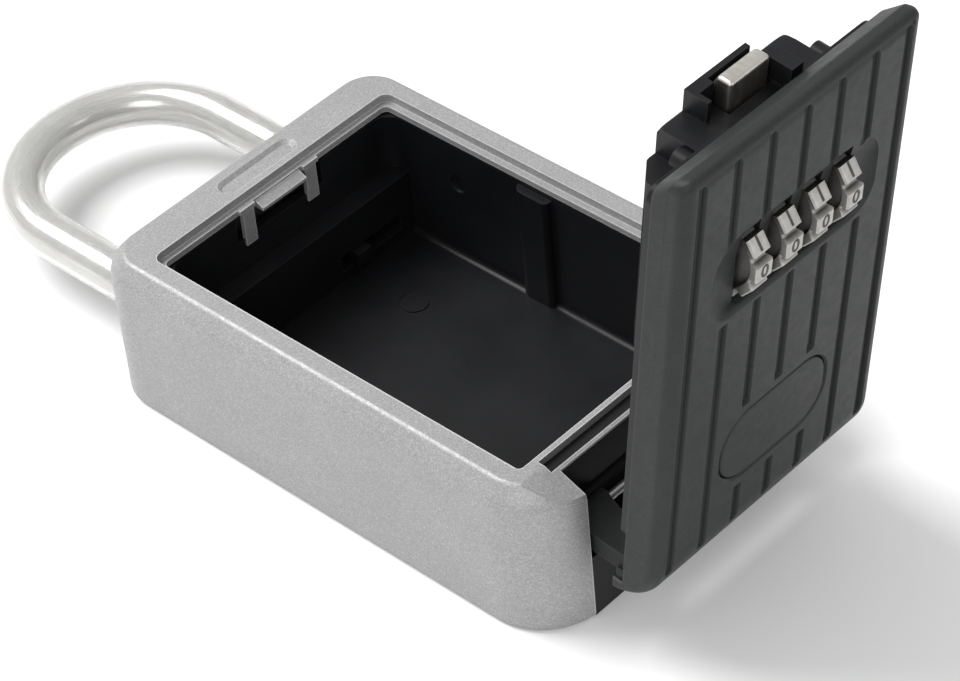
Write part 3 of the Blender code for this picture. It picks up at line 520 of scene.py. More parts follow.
def dial_grey():
    """Warm light grey wheels with a satin cast skin and painted shade in their recesses."""
    n = Nodes("dial_grey_finish")
    tone = n.ramp(n.noise(700.0, 3.0), [(0.3, (0.31, 0.305, 0.285)), (0.7, (0.40, 0.39, 0.37))])
    edge_tint = n.edge_wear(0.0004, 0.02, 0.3)
    colour = n.mix(n.math("MULTIPLY", edge_tint, 0.5), tone, (0.66, 0.65, 0.62))
    # Painted shade: the colour is darkened where the ambient occlusion node finds nearby surfaces, in
    # the notches and dished sides.
    occlusion_shade = n.add("ShaderNodeAmbientOcclusion", samples=6)
    occlusion_shade.inputs["Distance"].default_value = 0.004
    shade = n.ramp(occlusion_shade.outputs["AO"], [(0.5, 0.05), (0.93, 1.0)])
    colour = n.mix(1.0, colour, shade, "MULTIPLY")
    rough = n.ramp(n.noise(900.0), [(0.3, 0.33), (0.7, 0.46)])
    relief = n.bump(n.noise(1800.0), 0.00004, 0.4)
    return n.set(Base_Color=colour, Roughness=rough, Metallic=0.25, Normal=relief)


def metal(name, low, high, roughness, lines=(4.0, 4.0, 400.0), bump=0.3):
    """A metal with fine drawn or turned lines along the short scales."""
    n = Nodes(name)
    drawn = n.noise(18.0, 4.0, 0.7, stretch=lines)
    stain = n.noise(130.0, 3.0)
    tone = n.ramp(drawn, [(0.25, low), (0.75, high)])
    colour = n.mix(1.0, tone, n.ramp(stain, [(0.3, 0.9), (0.7, 1.0)]), "MULTIPLY")
    rough = n.ramp(drawn, [(0.25, roughness * 0.8), (0.75, roughness * 1.3)])
    relief = n.bump(drawn, 0.00002, bump)
    return n.set(Base_Color=colour, Roughness=rough, Metallic=1.0, Normal=relief)


def clear_vinyl():
    """Soft clear tube: glossy skin with faint waves, and a trace of haze."""
    n = Nodes("clear_vinyl_finish")
    haze = n.noise(70.0, 3.0)
    colour = n.ramp(haze, [(0.3, (0.94, 0.935, 0.915)), (0.7, (0.985, 0.982, 0.97))])
    rough = n.ramp(n.noise(220.0, 2.0), [(0.3, 0.06), (0.7, 0.16)])
    waves = n.bump(n.noise(160.0, 2.0, 0.4), 0.0001, 0.35)
    return n.set(
        Base_Color=colour, Roughness=rough, Transmission_Weight=0.86, IOR=1.45, Normal=waves
    )


def dark_ink():
    n = Nodes("digit_ink_finish")
    colour = n.ramp(n.noise(900.0), [(0.3, (0.02, 0.02, 0.02)), (0.7, (0.05, 0.05, 0.05))])
    return n.set(Base_Color=colour, Roughness=0.6)


SILVER = silver_paint()
CHARCOAL = charcoal_paint()
BLACK = black_plastic()
GREY = grey_plastic()
DIAL = dial_grey()
STEEL = metal("bright_steel_finish", (0.56, 0.56, 0.55), (0.70, 0.70, 0.69), 0.24)
ROD = metal("rod_steel_finish", (0.70, 0.70, 0.69), (0.84, 0.84, 0.83), 0.42)
SPRING = metal("spring_steel_finish", (0.38, 0.38, 0.38), (0.55, 0.55, 0.54), 0.28)
SCREW = metal("screw_zinc_finish", (0.42, 0.42, 0.43), (0.60, 0.60, 0.60), 0.3, (30.0, 30.0, 30.0))
NICKEL = metal(
    "bolt_nickel_finish", (0.60, 0.575, 0.53), (0.70, 0.675, 0.625), 0.34, (60.0, 20.0, 20.0), 0.12
)
BRASS = metal("sleeve_brass_finish", (0.52, 0.38, 0.16), (0.66, 0.50, 0.24), 0.3, (300.0, 8.0, 8.0))
VINYL = clear_vinyl()
INK = dark_ink()


# ---------------------------------------------------------------- the case


def case_outline(inset, steps=16):
    low_radius = max(HINGE_CORNER - inset, 0.5)
    high_radius = max(SHACKLE_CORNER - inset, 0.5)
    return outline_of(
        HALF_WIDTH - inset, inset - HALF_LENGTH, HALF_LENGTH - inset, low_radius, high_radius, steps
    )


def cheek_outline(steps=12):
    """The block behind one round hinge corner, from the hinge gap to the end groove."""
    radius = HINGE_CORNER - 2.0
    middle = Vector((HALF_WIDTH - HINGE_CORNER, HINGE_CORNER - HALF_LENGTH))
    start = -math.acos((CHEEK_X - middle.x) / radius)
    stop = math.asin((BAR_2_START - middle.y) / radius)
    points = [(CHEEK_X, BAR_2_START)]
    for step in range(steps + 1):
        angle = start + (stop - start) * step / steps
        points.append((middle.x + radius * math.cos(angle), middle.y + radius * math.sin(angle)))
    return points


def build_case():
    profile = rounded_line(
        [(2.5, 0.0), (0.0, 0.0), (0.0, RIM_Z - CHAMFER_DROP), (CHAMFER_RUN, RIM_Z), (4.2, RIM_Z)],
        (1.2, 3.6, 1.5),
        6,
    )
    rings = [[(x, y, z) for x, y in case_outline(inset)] for inset, z in profile]
    body = raw_object("case_body", loft_mesh(rings))
    half_x, half_y = RIM_HALF
    mouth = outline_of(MOUTH_HALF_X, -half_y, MOUTH_END_Y, 0.5, 1.4, 5)
    steps = [
        cut(prism_mesh(case_outline(CASE_WALL, 10), -1.0, ROOF_Z)),
        cut(prism_mesh(outline_of(half_x, -half_y, half_y, 1.2, 2.2, 6), LEDGE_Z, RIM_Z + 1)),
        cut(prism_mesh(mouth, ROOF_Z - 1, LEDGE_Z + 1)),
    ]
    for side in (-1, 1):
        cheek = [(side * x, y) for x, y in cheek_outline()]
        steps.append(join(prism_mesh(cheek, 0.6, ROOF_Z + 0.6)))
    gap_low = (-CHEEK_X, -HALF_LENGTH - 1, -1)
    steps.append(cut(box_mesh(gap_low, (CHEEK_X, BAR_2_END, RIM_Z + 1))))
    under_low = (-CHEEK_X, BAR_2_END - 1, UNDERCUT_LOW_Z)
    steps.append(cut(box_mesh(under_low, (CHEEK_X, BAR_2_START + 0.1, BAR_2_UNDER_Z))))
    groove_half = CHEEK_X + 1.6
    groove_low = (-groove_half, BAR_2_START, ROOF_Z - 1)
    steps.append(cut(box_mesh(groove_low, (groove_half, BAR_1_END, RIM_Z + 1))))
    slope_start, slope_end, slope_drop = -51.2, -61.0, 4.0
    slope = [(slope_start, RIM_Z + 3), (slope_start, RIM_Z)]
    slope += [(slope_end, RIM_Z - slope_drop), (slope_end, RIM_Z + 3)]
    steps.append(cut(prism_mesh(slope, -HALF_WIDTH - 5, HALF_WIDTH + 5, "X")))
    steps.append(cut(round_mesh((0, HINGE.y, HINGE.z), "X", PIN_HOLE, 68.0, 24)))
    steps += strike_steps()
    pocket_top = outline_of(10.4, 49.9, 54.9, 2.4, 2.4, 8)
    pocket_floor = outline_of(9.4, 50.9, 53.9, 1.5, 1.5, 8)
    pocket = [[(x, y, RIM_Z - 0.9) for x, y in pocket_floor]]
    pocket += [[(x, y, RIM_Z + rise) for x, y in pocket_top] for rise in (0.1, 1.0)]
    steps.append(cut(loft_mesh(pocket)))
    for side in (-1, 1):
        centre = (side * SHACKLE_X, HALF_LENGTH - 2, SHACKLE_Z)
        steps.append(cut(round_mesh(centre, "Y", BAR_RADIUS + 0.4, 8.0)))
        lip = (side * SHACKLE_X, HALF_LENGTH - 0.2, SHACKLE_Z)
        steps.append(cut(round_mesh(lip, "Y", SLEEVE_RADIUS + 0.1, 1.0)))
    carve(body, steps)
    tidy_mesh(body)
    soften(body, 0.3)
    return place(body, SILVER, "root", ["case_shell"])


def strike_steps():
    """The ramp that pushes the bolt back, and a bracket with a leg on each side of it."""
    root_y = MOUTH_END_Y + 2.3
    under_z = ROOF_Z - 0.85
    ramp = [(root_y, LEDGE_Z), (MOUTH_END_Y + 1.2, LEDGE_Z), (STRIKE_REACH, ROOF_Z - 0.2)]
    ramp += [(STRIKE_REACH, under_z), (root_y, under_z)]
    ramp_half = BOLT_HALF + 1.0
    steps = [join(prism_mesh(ramp, -ramp_half, ramp_half, "X"))]
    face = MOUTH_END_Y - 0.7
    leg_foot = 23.8
    for side in (-1, 1):
        low, high = sorted((side * 6.9, side * 11.0))
        shelf_low = (low, face, ROOF_Z + 0.3)
        steps.append(join(box_mesh(shelf_low, (high, MOUTH_END_Y + 1, LEDGE_Z))))
        low, high = sorted((side * 7.3, side * 10.3))
        leg_low = (low, face + 0.1, leg_foot)
        steps.append(join(box_mesh(leg_low, (high, MOUTH_END_Y + 0.4, ROOF_Z + 0.6))))
    return steps


def build_tray():
    base = case_outline(CASE_WALL + 0.3, 10)
    tray = raw_object("tray_liner", prism_mesh(base, 0.0, TRAY_FLOOR))
    end = -RIM_HALF[1]
    outer_x, outer_y = MOUTH_HALF_X + 2.0, MOUTH_END_Y + 2.0
    reach = CHEEK_X - 0.3
    end_y = 0.4 - HALF_LENGTH
    sill_z = 14.8
    walls = outline_of(outer_x, end - 2.0, outer_y, 1.0, 3.0, 6)
    bar_y = BAR_2_END + 0.2
    strip_half = CHEEK_X + 1.3
    strip_low = (-strip_half, BAR_2_START + 0.15, TRAY_TOP - 4)
    steps = [
        join(prism_mesh(walls, TRAY_FLOOR - 1, TRAY_TOP)),
        join(box_mesh((-reach, end_y, 0.0), (reach, end - 1.0, sill_z))),
        join(box_mesh((-reach, bar_y, sill_z - 2.0), (reach, end - 1.0, TRAY_TOP))),
        join(box_mesh((-reach, bar_y, TRAY_TOP - 1), (reach, BAR_2_START + 0.3, LEDGE_Z - 0.4))),
        join(box_mesh(strip_low, (strip_half, BAR_1_END - 0.15, LEDGE_Z + 0.4))),
    ]
    # The inside, with a fillet round the floor and a little draft on the walls.
    levels = rounded_line([(1.9, TRAY_FLOOR), (0.25, TRAY_FLOOR), (0.0, TRAY_TOP + 1)], (1.4,), 5)
    rings = []
    for inset, z in levels:
        ring = outline_of(MOUTH_HALF_X - inset, end + inset, MOUTH_END_Y - inset, 1.6, 4.6, 8)
        rings.append([(x, y, z) for x, y in ring])
    steps.append(cut(loft_mesh(rings)))
    # A round trough for the hinge knuckles, and a drain slot under it.
    steps.append(cut(round_mesh((0, HINGE.y, HINGE.z), "X", 5.0, 2 * CHEEK_X + 4, 64)))
    slot = [(-57.8, 7.8), (-55.0, 7.8), (-55.0, 20.0), (-57.8, 20.0)]
    steps.append(cut(prism_mesh(slot, 2 - CHEEK_X, CHEEK_X - 2, "X")))
    for side in (-1, 1):
        low, high = sorted((side * reach, side * HALF_WIDTH))
        steps.append(cut(box_mesh((low, end_y - 1, -1), (high, BAR_2_START + 0.3, TRAY_TOP + 1))))
    # A window for the strike, and the room for the block that takes the shackle's legs.
    window_low = (-12.0, MOUTH_END_Y - 0.9, 25.4)
    steps.append(cut(box_mesh(window_low, (12.0, outer_y + 1, TRAY_TOP + 1))))
    steps.append(cut(box_mesh((-34.3, 41.9, TRAY_FLOOR), (34.3, 57.5, 18.5))))
    steps += pilaster_steps() + floor_mark_steps()
    carve(tray, steps)
    tidy_mesh(tray)
    soften(tray, 0.25)
    return place(tray, BLACK, "root", ["inner_tray"])


def pilaster_steps():
    """A rounded pilaster on each long wall, from the floor to just under the ledge."""
    steps = []
    for side in (-1, 1):
        outline = outline_of(2.6, 1.8, 10.8, 1.3, 2.4, 6, side * (MOUTH_HALF_X + 0.7))
        steps.append(join(prism_mesh(outline, TRAY_FLOOR - 0.5, TRAY_TOP - 1.0)))
    return steps


def floor_mark_steps():
    """Round ejector marks: a raised disc inside a fine ring on the floor, and shallow round dents on
    the walls.
    """
    steps = []
    for x, y in ((-14, -32), (14, -32), (-14, 26), (14, 26)):
        steps.append(cut(round_mesh((x, y, TRAY_FLOOR), "Z", 3.3, 0.5, 40)))
        steps.append(join(round_mesh((x, y, TRAY_FLOOR - 0.2), "Z", 3.0, 0.6, 40)))
    for side in (-1, 1):
        for y in (-26.0, 28.0):
            steps.append(cut(round_mesh((side * (MOUTH_HALF_X + 0.1), y, 22.0), "X", 2.2, 0.7, 32)))
    return steps


# ---------------------------------------------------------------- the shackle

LEG_STEPS = 6
BEND_STEPS = 64
SHACKLE_SIDES = 40


def shackle_path(end_y):
    """The middle line of the shackle: a leg, a half turn and the other leg."""
    leg = SHACKLE_BEND_Y - end_y
    points = [(-SHACKLE_X, end_y + leg * step / LEG_STEPS) for step in range(LEG_STEPS)]
    for step in range(BEND_STEPS + 1):
        angle = math.pi - math.pi * step / BEND_STEPS
        points.append((SHACKLE_X * math.cos(angle), SHACKLE_BEND_Y + SHACKLE_X * math.sin(angle)))
    for step in range(1, LEG_STEPS + 1):
        points.append((SHACKLE_X, SHACKLE_BEND_Y - leg * step / LEG_STEPS))
    return points


def shackle_rings(path, radius, shrink=()):
    """Round sections along the shackle's flat path; shrink lists smaller radii for both ends."""
    rings = []
    last = len(path) - 1
    for i, (x, y) in enumerate(path):
        before = Vector(path[max(i - 1, 0)])
        after = Vector(path[min(i + 1, last)])
        along = (after - before).normalized()
        across = Vector((-along.y, along.x))
        near_end = min(i, last - i)
        size = shrink[near_end] if near_end < len(shrink) else radius
        ring = []
        for k in range(SHACKLE_SIDES):
            turn = 2 * math.pi * k / SHACKLE_SIDES
            side = across * size * math.cos(turn)
            ring.append((x + side.x, y + side.y, SHACKLE_Z + size * math.sin(turn)))
        rings.append(ring)
    return rings


def build_shackle():
    foot_y = node_box("shackle_bar")[0].y + 0.02
    rod = loft_mesh(shackle_rings(shackle_path(foot_y), BAR_RADIUS))
    bar = raw_object("shackle_rod", rod)
    steps = []
    for side in (-1, 1):
        # The notch that the slider's finger enters.
        edge = side * SHACKLE_X + BAR_RADIUS
        steps.append(cut(box_mesh((edge - 1.5, 48.5, 5.0), (edge + 2.0, 52.5, 21.0))))
    carve(bar, steps)
    tidy_mesh(bar)
    soften(bar, 0.4, 50.0, 3)
    place(bar, STEEL, "shackle", ["shackle_bar"])

    path = shackle_path(HALF_LENGTH + 0.35)
    outer = shackle_rings(path, SLEEVE_RADIUS, (SLEEVE_RADIUS - 0.5,))
    inner = shackle_rings(path, SLEEVE_BORE)
    edit = bmesh.new()
    skins = []
    for rings in (outer, inner):
        skins.append([[edit.verts.new(point) for point in ring] for ring in rings])
    bands = []
    for skin in skins:
        bands += list(zip(skin, skin[1:]))
    bands += [(skins[0][end], skins[1][end]) for end in (0, -1)]
    for first, second in bands:
        for k in range(SHACKLE_SIDES):
            j = (k + 1) % SHACKLE_SIDES
            edit.faces.new((first[k], first[j], second[j], second[k]))
    sleeve = raw_object("shackle_tube", edit)
    place(sleeve, VINYL, "shackle", ["shackle_sleeve"])


# ---------------------------------------------------------------- the door


def door_outline(inset):
    """The door's outer line seen from the side, as (u, n), drawn in by inset, then its inside."""
    centre = Vector((ROUND_END - 5.0, DOOR_FRONT - ROUND_END))
    radius = ROUND_END - inset
    face_n = DOOR_FRONT - inset
    corner = [(DOOR_TOP_BACK - inset * 0.8, DOOR_BACK)]
    corner += [(DOOR_TOP - 0.9 - inset, DOOR_FRONT - 3.4 - inset * 0.5)]
    corner += [(DOOR_TOP - inset, face_n), (centre.x + 40.0, face_n)]
    points = [tuple(point) for point in rounded_line(corner, (1.5, 1.3), 4)]
    stop = math.pi - math.asin((SKIRT_N - centre.y) / radius)
    for step in range(25):
        angle = math.pi / 2 + (stop - math.pi / 2) * step / 24
        points.append((centre.x + radius * math.cos(angle), centre.y + radius * math.sin(angle)))
    inner_u = points[-1][0] + DOOR_WALL
    points += [(inner_u, SKIRT_N), (inner_u, DOOR_BACK), (centre.x, DOOR_BACK)]
    return points


def build_door():
    sides = []
    for side in (-1, 1):
        for step in range(9):
            angle = math.radians(90 * step / 8)
            inset = EDGE_ROUND * (1 - math.sin(angle))
            sides.append((side * (DOOR_HALF - EDGE_ROUND * (1 - math.cos(angle))), inset))
    sides.sort()
    rings = [[(x, u, n) for u, n in door_outline(inset)] for x, inset in sides]
    shell = raw_object("door_cover", loft_mesh(rings))
    inner = DOOR_HALF - DOOR_WALL
    roof = DOOR_FRONT - DOOR_WALL
    cavity = [(95.5, DOOR_BACK - 1), (95.5, roof), (7.0, roof), (2.0, DOOR_FRONT - 3.6)]
    cavity += [(0.4, DOOR_BACK + 2.0), (0.4, DOOR_BACK - 1)]
    steps = [cut(prism_mesh(cavity, -inner, inner, "X"))]
    for x, u in SCREWS:
        steps.append(join(round_mesh((x, u, DOOR_FRONT - 4.2), "Z", 3.0, 6.6, 24)))
        steps.append(cut(round_mesh((x, u, DOOR_BACK + 2), "Z", SCREW_HOLE, 6.6, 20)))
    steps += recess_steps() + [cut(edit) for edit in groove_cutters()]
    steps.append(cut(end_valley()))
    steps.append(cut(button_hole()))
    # The skirt below the hinge end, the two hinge arms and their bore.
    reach = CHEEK_X - 0.4
    apron = [(-4.9, 10.5), (-3.0, 10.5), (-2.6, 14.0), (-4.6, 14.0)]
    steps.append(join(prism_mesh(apron, -reach, reach, "X")))
    for side in (-1, 1):
        low, high = sorted(side * edge for edge in ARM_SPAN)
        steps.append(join(prism_mesh(arm_outline(), low, high, "X")))
    steps.append(cut(round_mesh((0, 0, 0), "X", PIN_HOLE, 60.0, 24)))
    carve(shell, steps)
    tidy_mesh(shell)
    soften(shell, 0.22)
    return place(shell, CHARCOAL, "door", ["door_shell"], on_door=True)


def end_valley():
    """A shallow valley across the free end, which leaves a raised bead along the edge."""
    reach = DOOR_HALF - EDGE_ROUND
    section = [(100.6, 0.0), (102.1, -0.45), (102.7, 0.0), (102.7, 1.0), (100.6, 1.0)]
    return prism_mesh([(u, DOOR_FRONT + n) for u, n in section], -reach, reach, "X")


def arm_outline():
    """A hinge arm seen from the side: round about the pin and joined to the door's inner wall."""
    points = [(0.4, 16.5), (-4.0, 16.5), (-4.0, 1.5)]
    for step in range(17):
        angle = math.radians(165 + 195 * step / 16)
        points.append((KNUCKLE_RADIUS * math.cos(angle), KNUCKLE_RADIUS * math.sin(angle)))
    points.append((0.4, 3.4))
    return points


def recess_steps():
    """The pan under the dials: steep at its lower edge, easy at its upper one, with four slots."""
    half_x, half_u, depth = RECESS
    low_u = DIAL_U - half_u
    high_u = DIAL_U + half_u
    pan_low = (-half_x - 1.6, low_u - 1.0, DOOR_FRONT - depth - 1.6)
    steps = [join(box_mesh(pan_low, (half_x + 1.6, high_u + 1.6, DOOR_FRONT - 1.2)))]
    scoop = []
    for share in (1.0, 0.97, 0.85, 0.62, 0.35, 0.12, 0.0, -0.2):
        # The wall eases into the floor, more slowly on the upper side and at the two ends.
        sunk = max(share, 0.0)
        ease = sunk**2
        side = half_x - 3.4 * ease - 0.3 * sunk
        lip_u = low_u + 0.8 * (1 - (1 - sunk) ** 4) + 0.5 * sunk
        ring = outline_of(side, lip_u, high_u - 7.5 * ease, 6.5 - 2.0 * ease, 8.0 - 3.5 * ease, 14)
        scoop.append([(x, y, DOOR_FRONT - depth * share) for x, y in ring])
    steps.append(cut(loft_mesh(scoop)))
    for centre in DIAL_CENTRES:
        half_slot = DIAL_WIDTH / 2 + 0.45
        slot = outline_of(half_slot, DIAL_U - 8.9, DIAL_U + 8.3, 0.5, 0.8, 4, centre.x)
        steps.append(cut(prism_mesh(slot, DOOR_FRONT - 8, DOOR_FRONT + 1)))
    return steps


def button_outline(grow):
    half_x, half_u = BUTTON_HALF
    radius = BUTTON_CORNER + grow
    low_u, high_u = BUTTON_U - half_u - grow, BUTTON_U + half_u + grow
    return outline_of(half_x + grow, low_u, high_u, radius, radius, 12)


def button_hole():
    """The hole round the release button, with a small flare at the door's face."""
    levels = ((0.3, -4.0), (0.3, -0.45), (0.75, 0.05), (0.75, 1.0))
    return loft_mesh([[(x, y, DOOR_FRONT + n) for x, y in button_outline(grow)] for grow, n in levels])


GROOVE_SECTION = ((-0.3, -1.05), (-0.05, -0.95), (0.1, -0.5), (0.4, 0.02), (0.4, 1.0))


def groove_cutters():
    """Round-ended U grooves between the ribs, which stop at the dial recess and the button."""
    cutters = []
    for number in range(GROOVES):
        x = (number - (GROOVES - 1) / 2) * GROOVE_PITCH
        for low_u, high_u in groove_runs(abs(x)):
            rings = []
            for grow, level in GROOVE_SECTION:
                ring = outline_of(0.8 + grow, low_u - grow, high_u + grow, 0.45, 0.45, 4)
                rings.append([(a + x, b, DOOR_FRONT + level) for a, b in ring])
            cutters.append(loft_mesh(rings))
    return cutters


def groove_runs(x):
    """The stretches (low u, high u) of a groove at x, broken by the button and the recess."""
    low, high = 4.5, 101.4
    stops = []
    if x < BUTTON_HALF[0] + 2:
        reach = BUTTON_HALF[1] + (2.6 if x < BUTTON_HALF[0] - 4 else 0.6)
        stops.append((BUTTON_U - reach, BUTTON_U + reach))
    if x < RECESS[0] + 1:
        stops.append((DIAL_U - RECESS[1] - 0.9, DIAL_U + RECESS[1] - 3.5))
    runs = []
    for start, stop in stops:
        runs.append((low, start))
        low = stop
    runs.append((low, high))
    return runs


def build_button():
    under, face = DOOR_FRONT - 3.0, DOOR_FRONT - 0.1
    levels = rounded_line([(1.0, under), (0.0, under), (0.0, face), (3.0, face)], (0.3, 0.5), 4)
    rings = [[(x, y, n) for x, y in button_outline(-inset)] for inset, n in levels]
    button = raw_object("release_pad", loft_mesh(rings))
    return place(button, CHARCOAL, "button", ["release_button"], on_door=True)


def build_lock_housing():
    low_u, high_u, low_n = PLATE
    top = DOOR_BACK - 0.3
    plate = raw_object(
        "lock_cover", prism_mesh(outline_of(PLATE_HALF, low_u, high_u, 1.5, 3.0, 8), low_n, top)
    )
    half, box_low, box_high, box_n = LOCK_BOX
    rings = []
    flank = [(8.0, box_n), (4.2, box_n), (0.0, box_n + 3.4), (0.0, low_n + 1)]
    slope = rounded_line(flank, (1.6, 1.2), 5)
    for inset, level in slope:
        end_inset = max(0.0, box_n + 0.7 - level)
        ring = outline_of(half - inset, box_low + end_inset, box_high - end_inset, 3.0, 4.0, 8)
        rings.append([(x, y, level) for x, y in ring])
    steps = [join(loft_mesh(rings))]
    for side in (-1, 1):
        low, high = sorted((side * SHOULDER[0], side * (half + 1)))
        notch_low = (low, SHOULDER[1], box_n - 1)
        steps.append(cut(box_mesh(notch_low, (high, box_high + 1, low_n - 0.01))))
    # The latch guide: a back wall behind the bolt and a cheek on its right, open to the front.
    left, right = LATCH_SIDES
    root = box_high - 6
    steps.append(join(box_mesh((left, root, box_n + 0.3), (right, LATCH_TOP, 9.3))))
    steps.append(join(box_mesh((BOLT_HALF + 0.5, root, 9.0), (right, LATCH_TOP, 14.2))))
    pocket_low = (left + 1.0, box_high - 0.3, BOLT_N[0] + 1.0)
    steps.append(cut(box_mesh(pocket_low, (BOLT_HALF + 0.4, LATCH_TOP + 2, DOOR_BACK + 1))))
    relief_low = (BOLT_HALF + 0.4, box_high + 0.4, box_n - 1)
    steps.append(cut(box_mesh(relief_low, (right + 1, LATCH_TOP + 2, 7.8))))
    for side in (-1, 1):
        steps.append(join(round_mesh((side * LUG[0], LUG[1], 11.4), "Z", LUG[2], 3.6, 32)))
    # The room for the dials, the chamber and the mouth of the bolt, and the slot for the slide's arm.
    room_w, room_h = DIAL_ROOM
    room_low = (-room_w, DIAL_U - room_h, box_n + 1.5)
    steps.append(cut(box_mesh(room_low, (room_w, DIAL_U + room_h, DOOR_BACK + 1))))
    channel = (BOLT_N[0] - 0.4, BOLT_N[1] + 0.4)
    wide, low, high = BOLT_CHAMBER
    steps.append(cut(box_mesh((-wide, low, channel[0]), (wide, high, channel[1]))))
    mouth = BOLT_HALF + 0.4
    steps.append(cut(box_mesh((-mouth, 94.0, channel[0]), (mouth, 103.0, channel[1]))))
    steps.append(cut(box_mesh((8.0, 84.8, BOLT_N[1] - 0.6), (12.4, 93.4, DOOR_BACK + 1))))
    for x, u in SCREWS:
        steps.append(cut(round_mesh((x, u, low_n), "Z", SCREW_HOLE, 10.0, 20)))
        steps.append(cut(round_mesh((x, u, low_n), "Z", SCREW_SINK, 3.0, 32)))
    inner_x, outer_x, bracket_half = AXLE_BRACKET
    for side in (-1, 1):
        # A bracket for the dial axle.
        low, high = sorted((side * inner_x, side * outer_x))
        bracket_low = (low, DIAL_U - bracket_half, box_n + 1)
        steps.append(join(box_mesh(bracket_low, (high, DIAL_U + bracket_half, DIAL_N + 1.9))))
    steps.append(cut(round_mesh((0, DIAL_U, DIAL_N), "X", AXLE_HOLE, 40.0, 24)))
    steps.append(cut(round_mesh((*LEVER_PLACE, box_n), "Z", LEVER_HOLE, 9.0, 24)))
    carve(plate, steps)
    tidy_mesh(plate)
    soften(plate, 0.35)
    return place(plate, BLACK, "door", ["lock_housing"], on_door=True)


def build_bolt():
    """The bolt: a bevel on its inner side, and well-rounded edges."""
    low, high = BOLT_N
    tail, tip = BOLT_ENDS
    profile = [(tail, low), (tip - 2.6, low), (tip, low + 1.3), (tip, high), (tail, high)]
    bolt = raw_object("latch_tongue", prism_mesh(profile, -BOLT_HALF, BOLT_HALF, "X"))
    carve(bolt, [join(box_mesh((-10.4, tail, low), (10.4, tail + 2.6, high)))])
    tidy_mesh(bolt)
    soften(bolt, 0.8, 35.0, 4)
    return place(bolt, NICKEL, "latch", ["latch_bolt"], on_door=True)


def smooth_step(t):
    t = max(0.0, min(1.0, t))
    return t * t * (3 - 2 * t)


PAD_FLAT = 11.0
PAD_FACE = DIAL_RADIUS * math.cos(math.radians(PAD_FLAT))
WAIST_DEPTH = 1.3
WHEEL_WIDTH = DIAL_WIDTH - 0.1
WAIST_SHARE = 0.82
WHEEL_STEPS = 240
WEB_DEPTH = 0.9
HUB_RADIUS = 3.3


def wheel_section(turn, inward):
    """(radius, share of the full width) at an angle from a pad's middle, inward from its side."""
    face = PAD_FACE / math.cos(math.radians(min(abs(turn), PAD_FLAT)))
    pad = smooth_step((15.2 - abs(turn)) / 4.6)
    edge = smooth_step(inward / 0.3)
    radius = DIAL_RADIUS - WAIST_DEPTH + (face - DIAL_RADIUS + WAIST_DEPTH) * pad
    return radius - 0.3 * (1 - edge), WAIST_SHARE + (1 - WAIST_SHARE) * pad


def round_ring(centre, x, radius):
    """A plain circle of points about a wheel's axis, x to the side of its middle."""
    ring = []
    for step in range(WHEEL_STEPS):
        a = 2 * math.pi * step / WHEEL_STEPS
        y = centre.y + radius * math.cos(a)
        ring.append((centre.x + x, y, centre.z + radius * math.sin(a)))
    return ring


def build_wheel(number):
    """A number wheel with ten flat pads, a waist between them, and its ten digits."""
    half = WHEEL_WIDTH / 2
    centre = DIAL_CENTRES[number]
    inwards = (0.0, 0.08, 0.18, 0.3, 0.8, 1.6, half)
    places = [inward - half for inward in inwards] + [half - inward for inward in inwards[-2::-1]]
    rings = []
    for x in places:
        ring = []
        for step in range(WHEEL_STEPS):
            angle = 360.0 * step / WHEEL_STEPS
            radius, width = wheel_section(angle % 36.0 - 18.0, half - abs(x))
            a = math.radians(angle)
            y = centre.y + radius * math.cos(a)
            ring.append((centre.x + x * width, y, centre.z + radius * math.sin(a)))
        rings.append(ring)
    # Each side is dished inside a narrow rim, down to the hub.
    rim = half * WAIST_SHARE
    web = rim - WEB_DEPTH
    dish = ((rim, 7.3), (web, 6.9), (web, HUB_RADIUS), (-web, HUB_RADIUS), (-web, 6.9), (-rim, 7.3))
    rings += [round_ring(centre, x, radius) for x, radius in dish]
    wheel = raw_object(f"number_wheel_{number + 1}", loft_mesh(rings, closed=True))
    node = f"dial_wheel_{number + 1}"
    place(wheel, DIAL, f"dial_{number + 1}", [node], on_door=True, smooth_angle=50.0)
    build_digits(number, centre)


def build_digits(number, centre):
    """Thin dark figures, one on each pad, reading upright with the door's free end up."""
    joined = bmesh.new()
    for position in range(10):
        text = bpy.data.curves.new(f"figure_{position}", "FONT")
        text.body = str(position)
        text.size = 4.1
        text.align_x = "CENTER"
        text.align_y = "CENTER"
        text.extrude = 0.06
        text.offset = 0.05
        text.resolution_u = 4
        holder = bpy.data.objects.new("figure", text)
        bpy.context.scene.collection.objects.link(holder)
        graph = bpy.context.evaluated_depsgraph_get()
        mesh = bpy.data.meshes.new_from_object(holder.evaluated_get(graph))
        lean = math.radians(36.0 * position)
        # A figure starts on the front pad, flat in (x, u), and turns about the axle to its own pad.
        to_pad = Matrix.Translation(Vector((0, 0, PAD_FACE)))
        turn = Matrix.Rotation(-lean, 4, "X")
        mesh.transform(Matrix.Translation(centre) @ turn @ to_pad)
        joined.from_mesh(mesh)
        bpy.data.objects.remove(holder, do_unlink=True)
    figures = raw_object(f"number_figures_{number + 1}", joined)
    place(figures, INK, f"dial_{number + 1}", [], on_door=True)


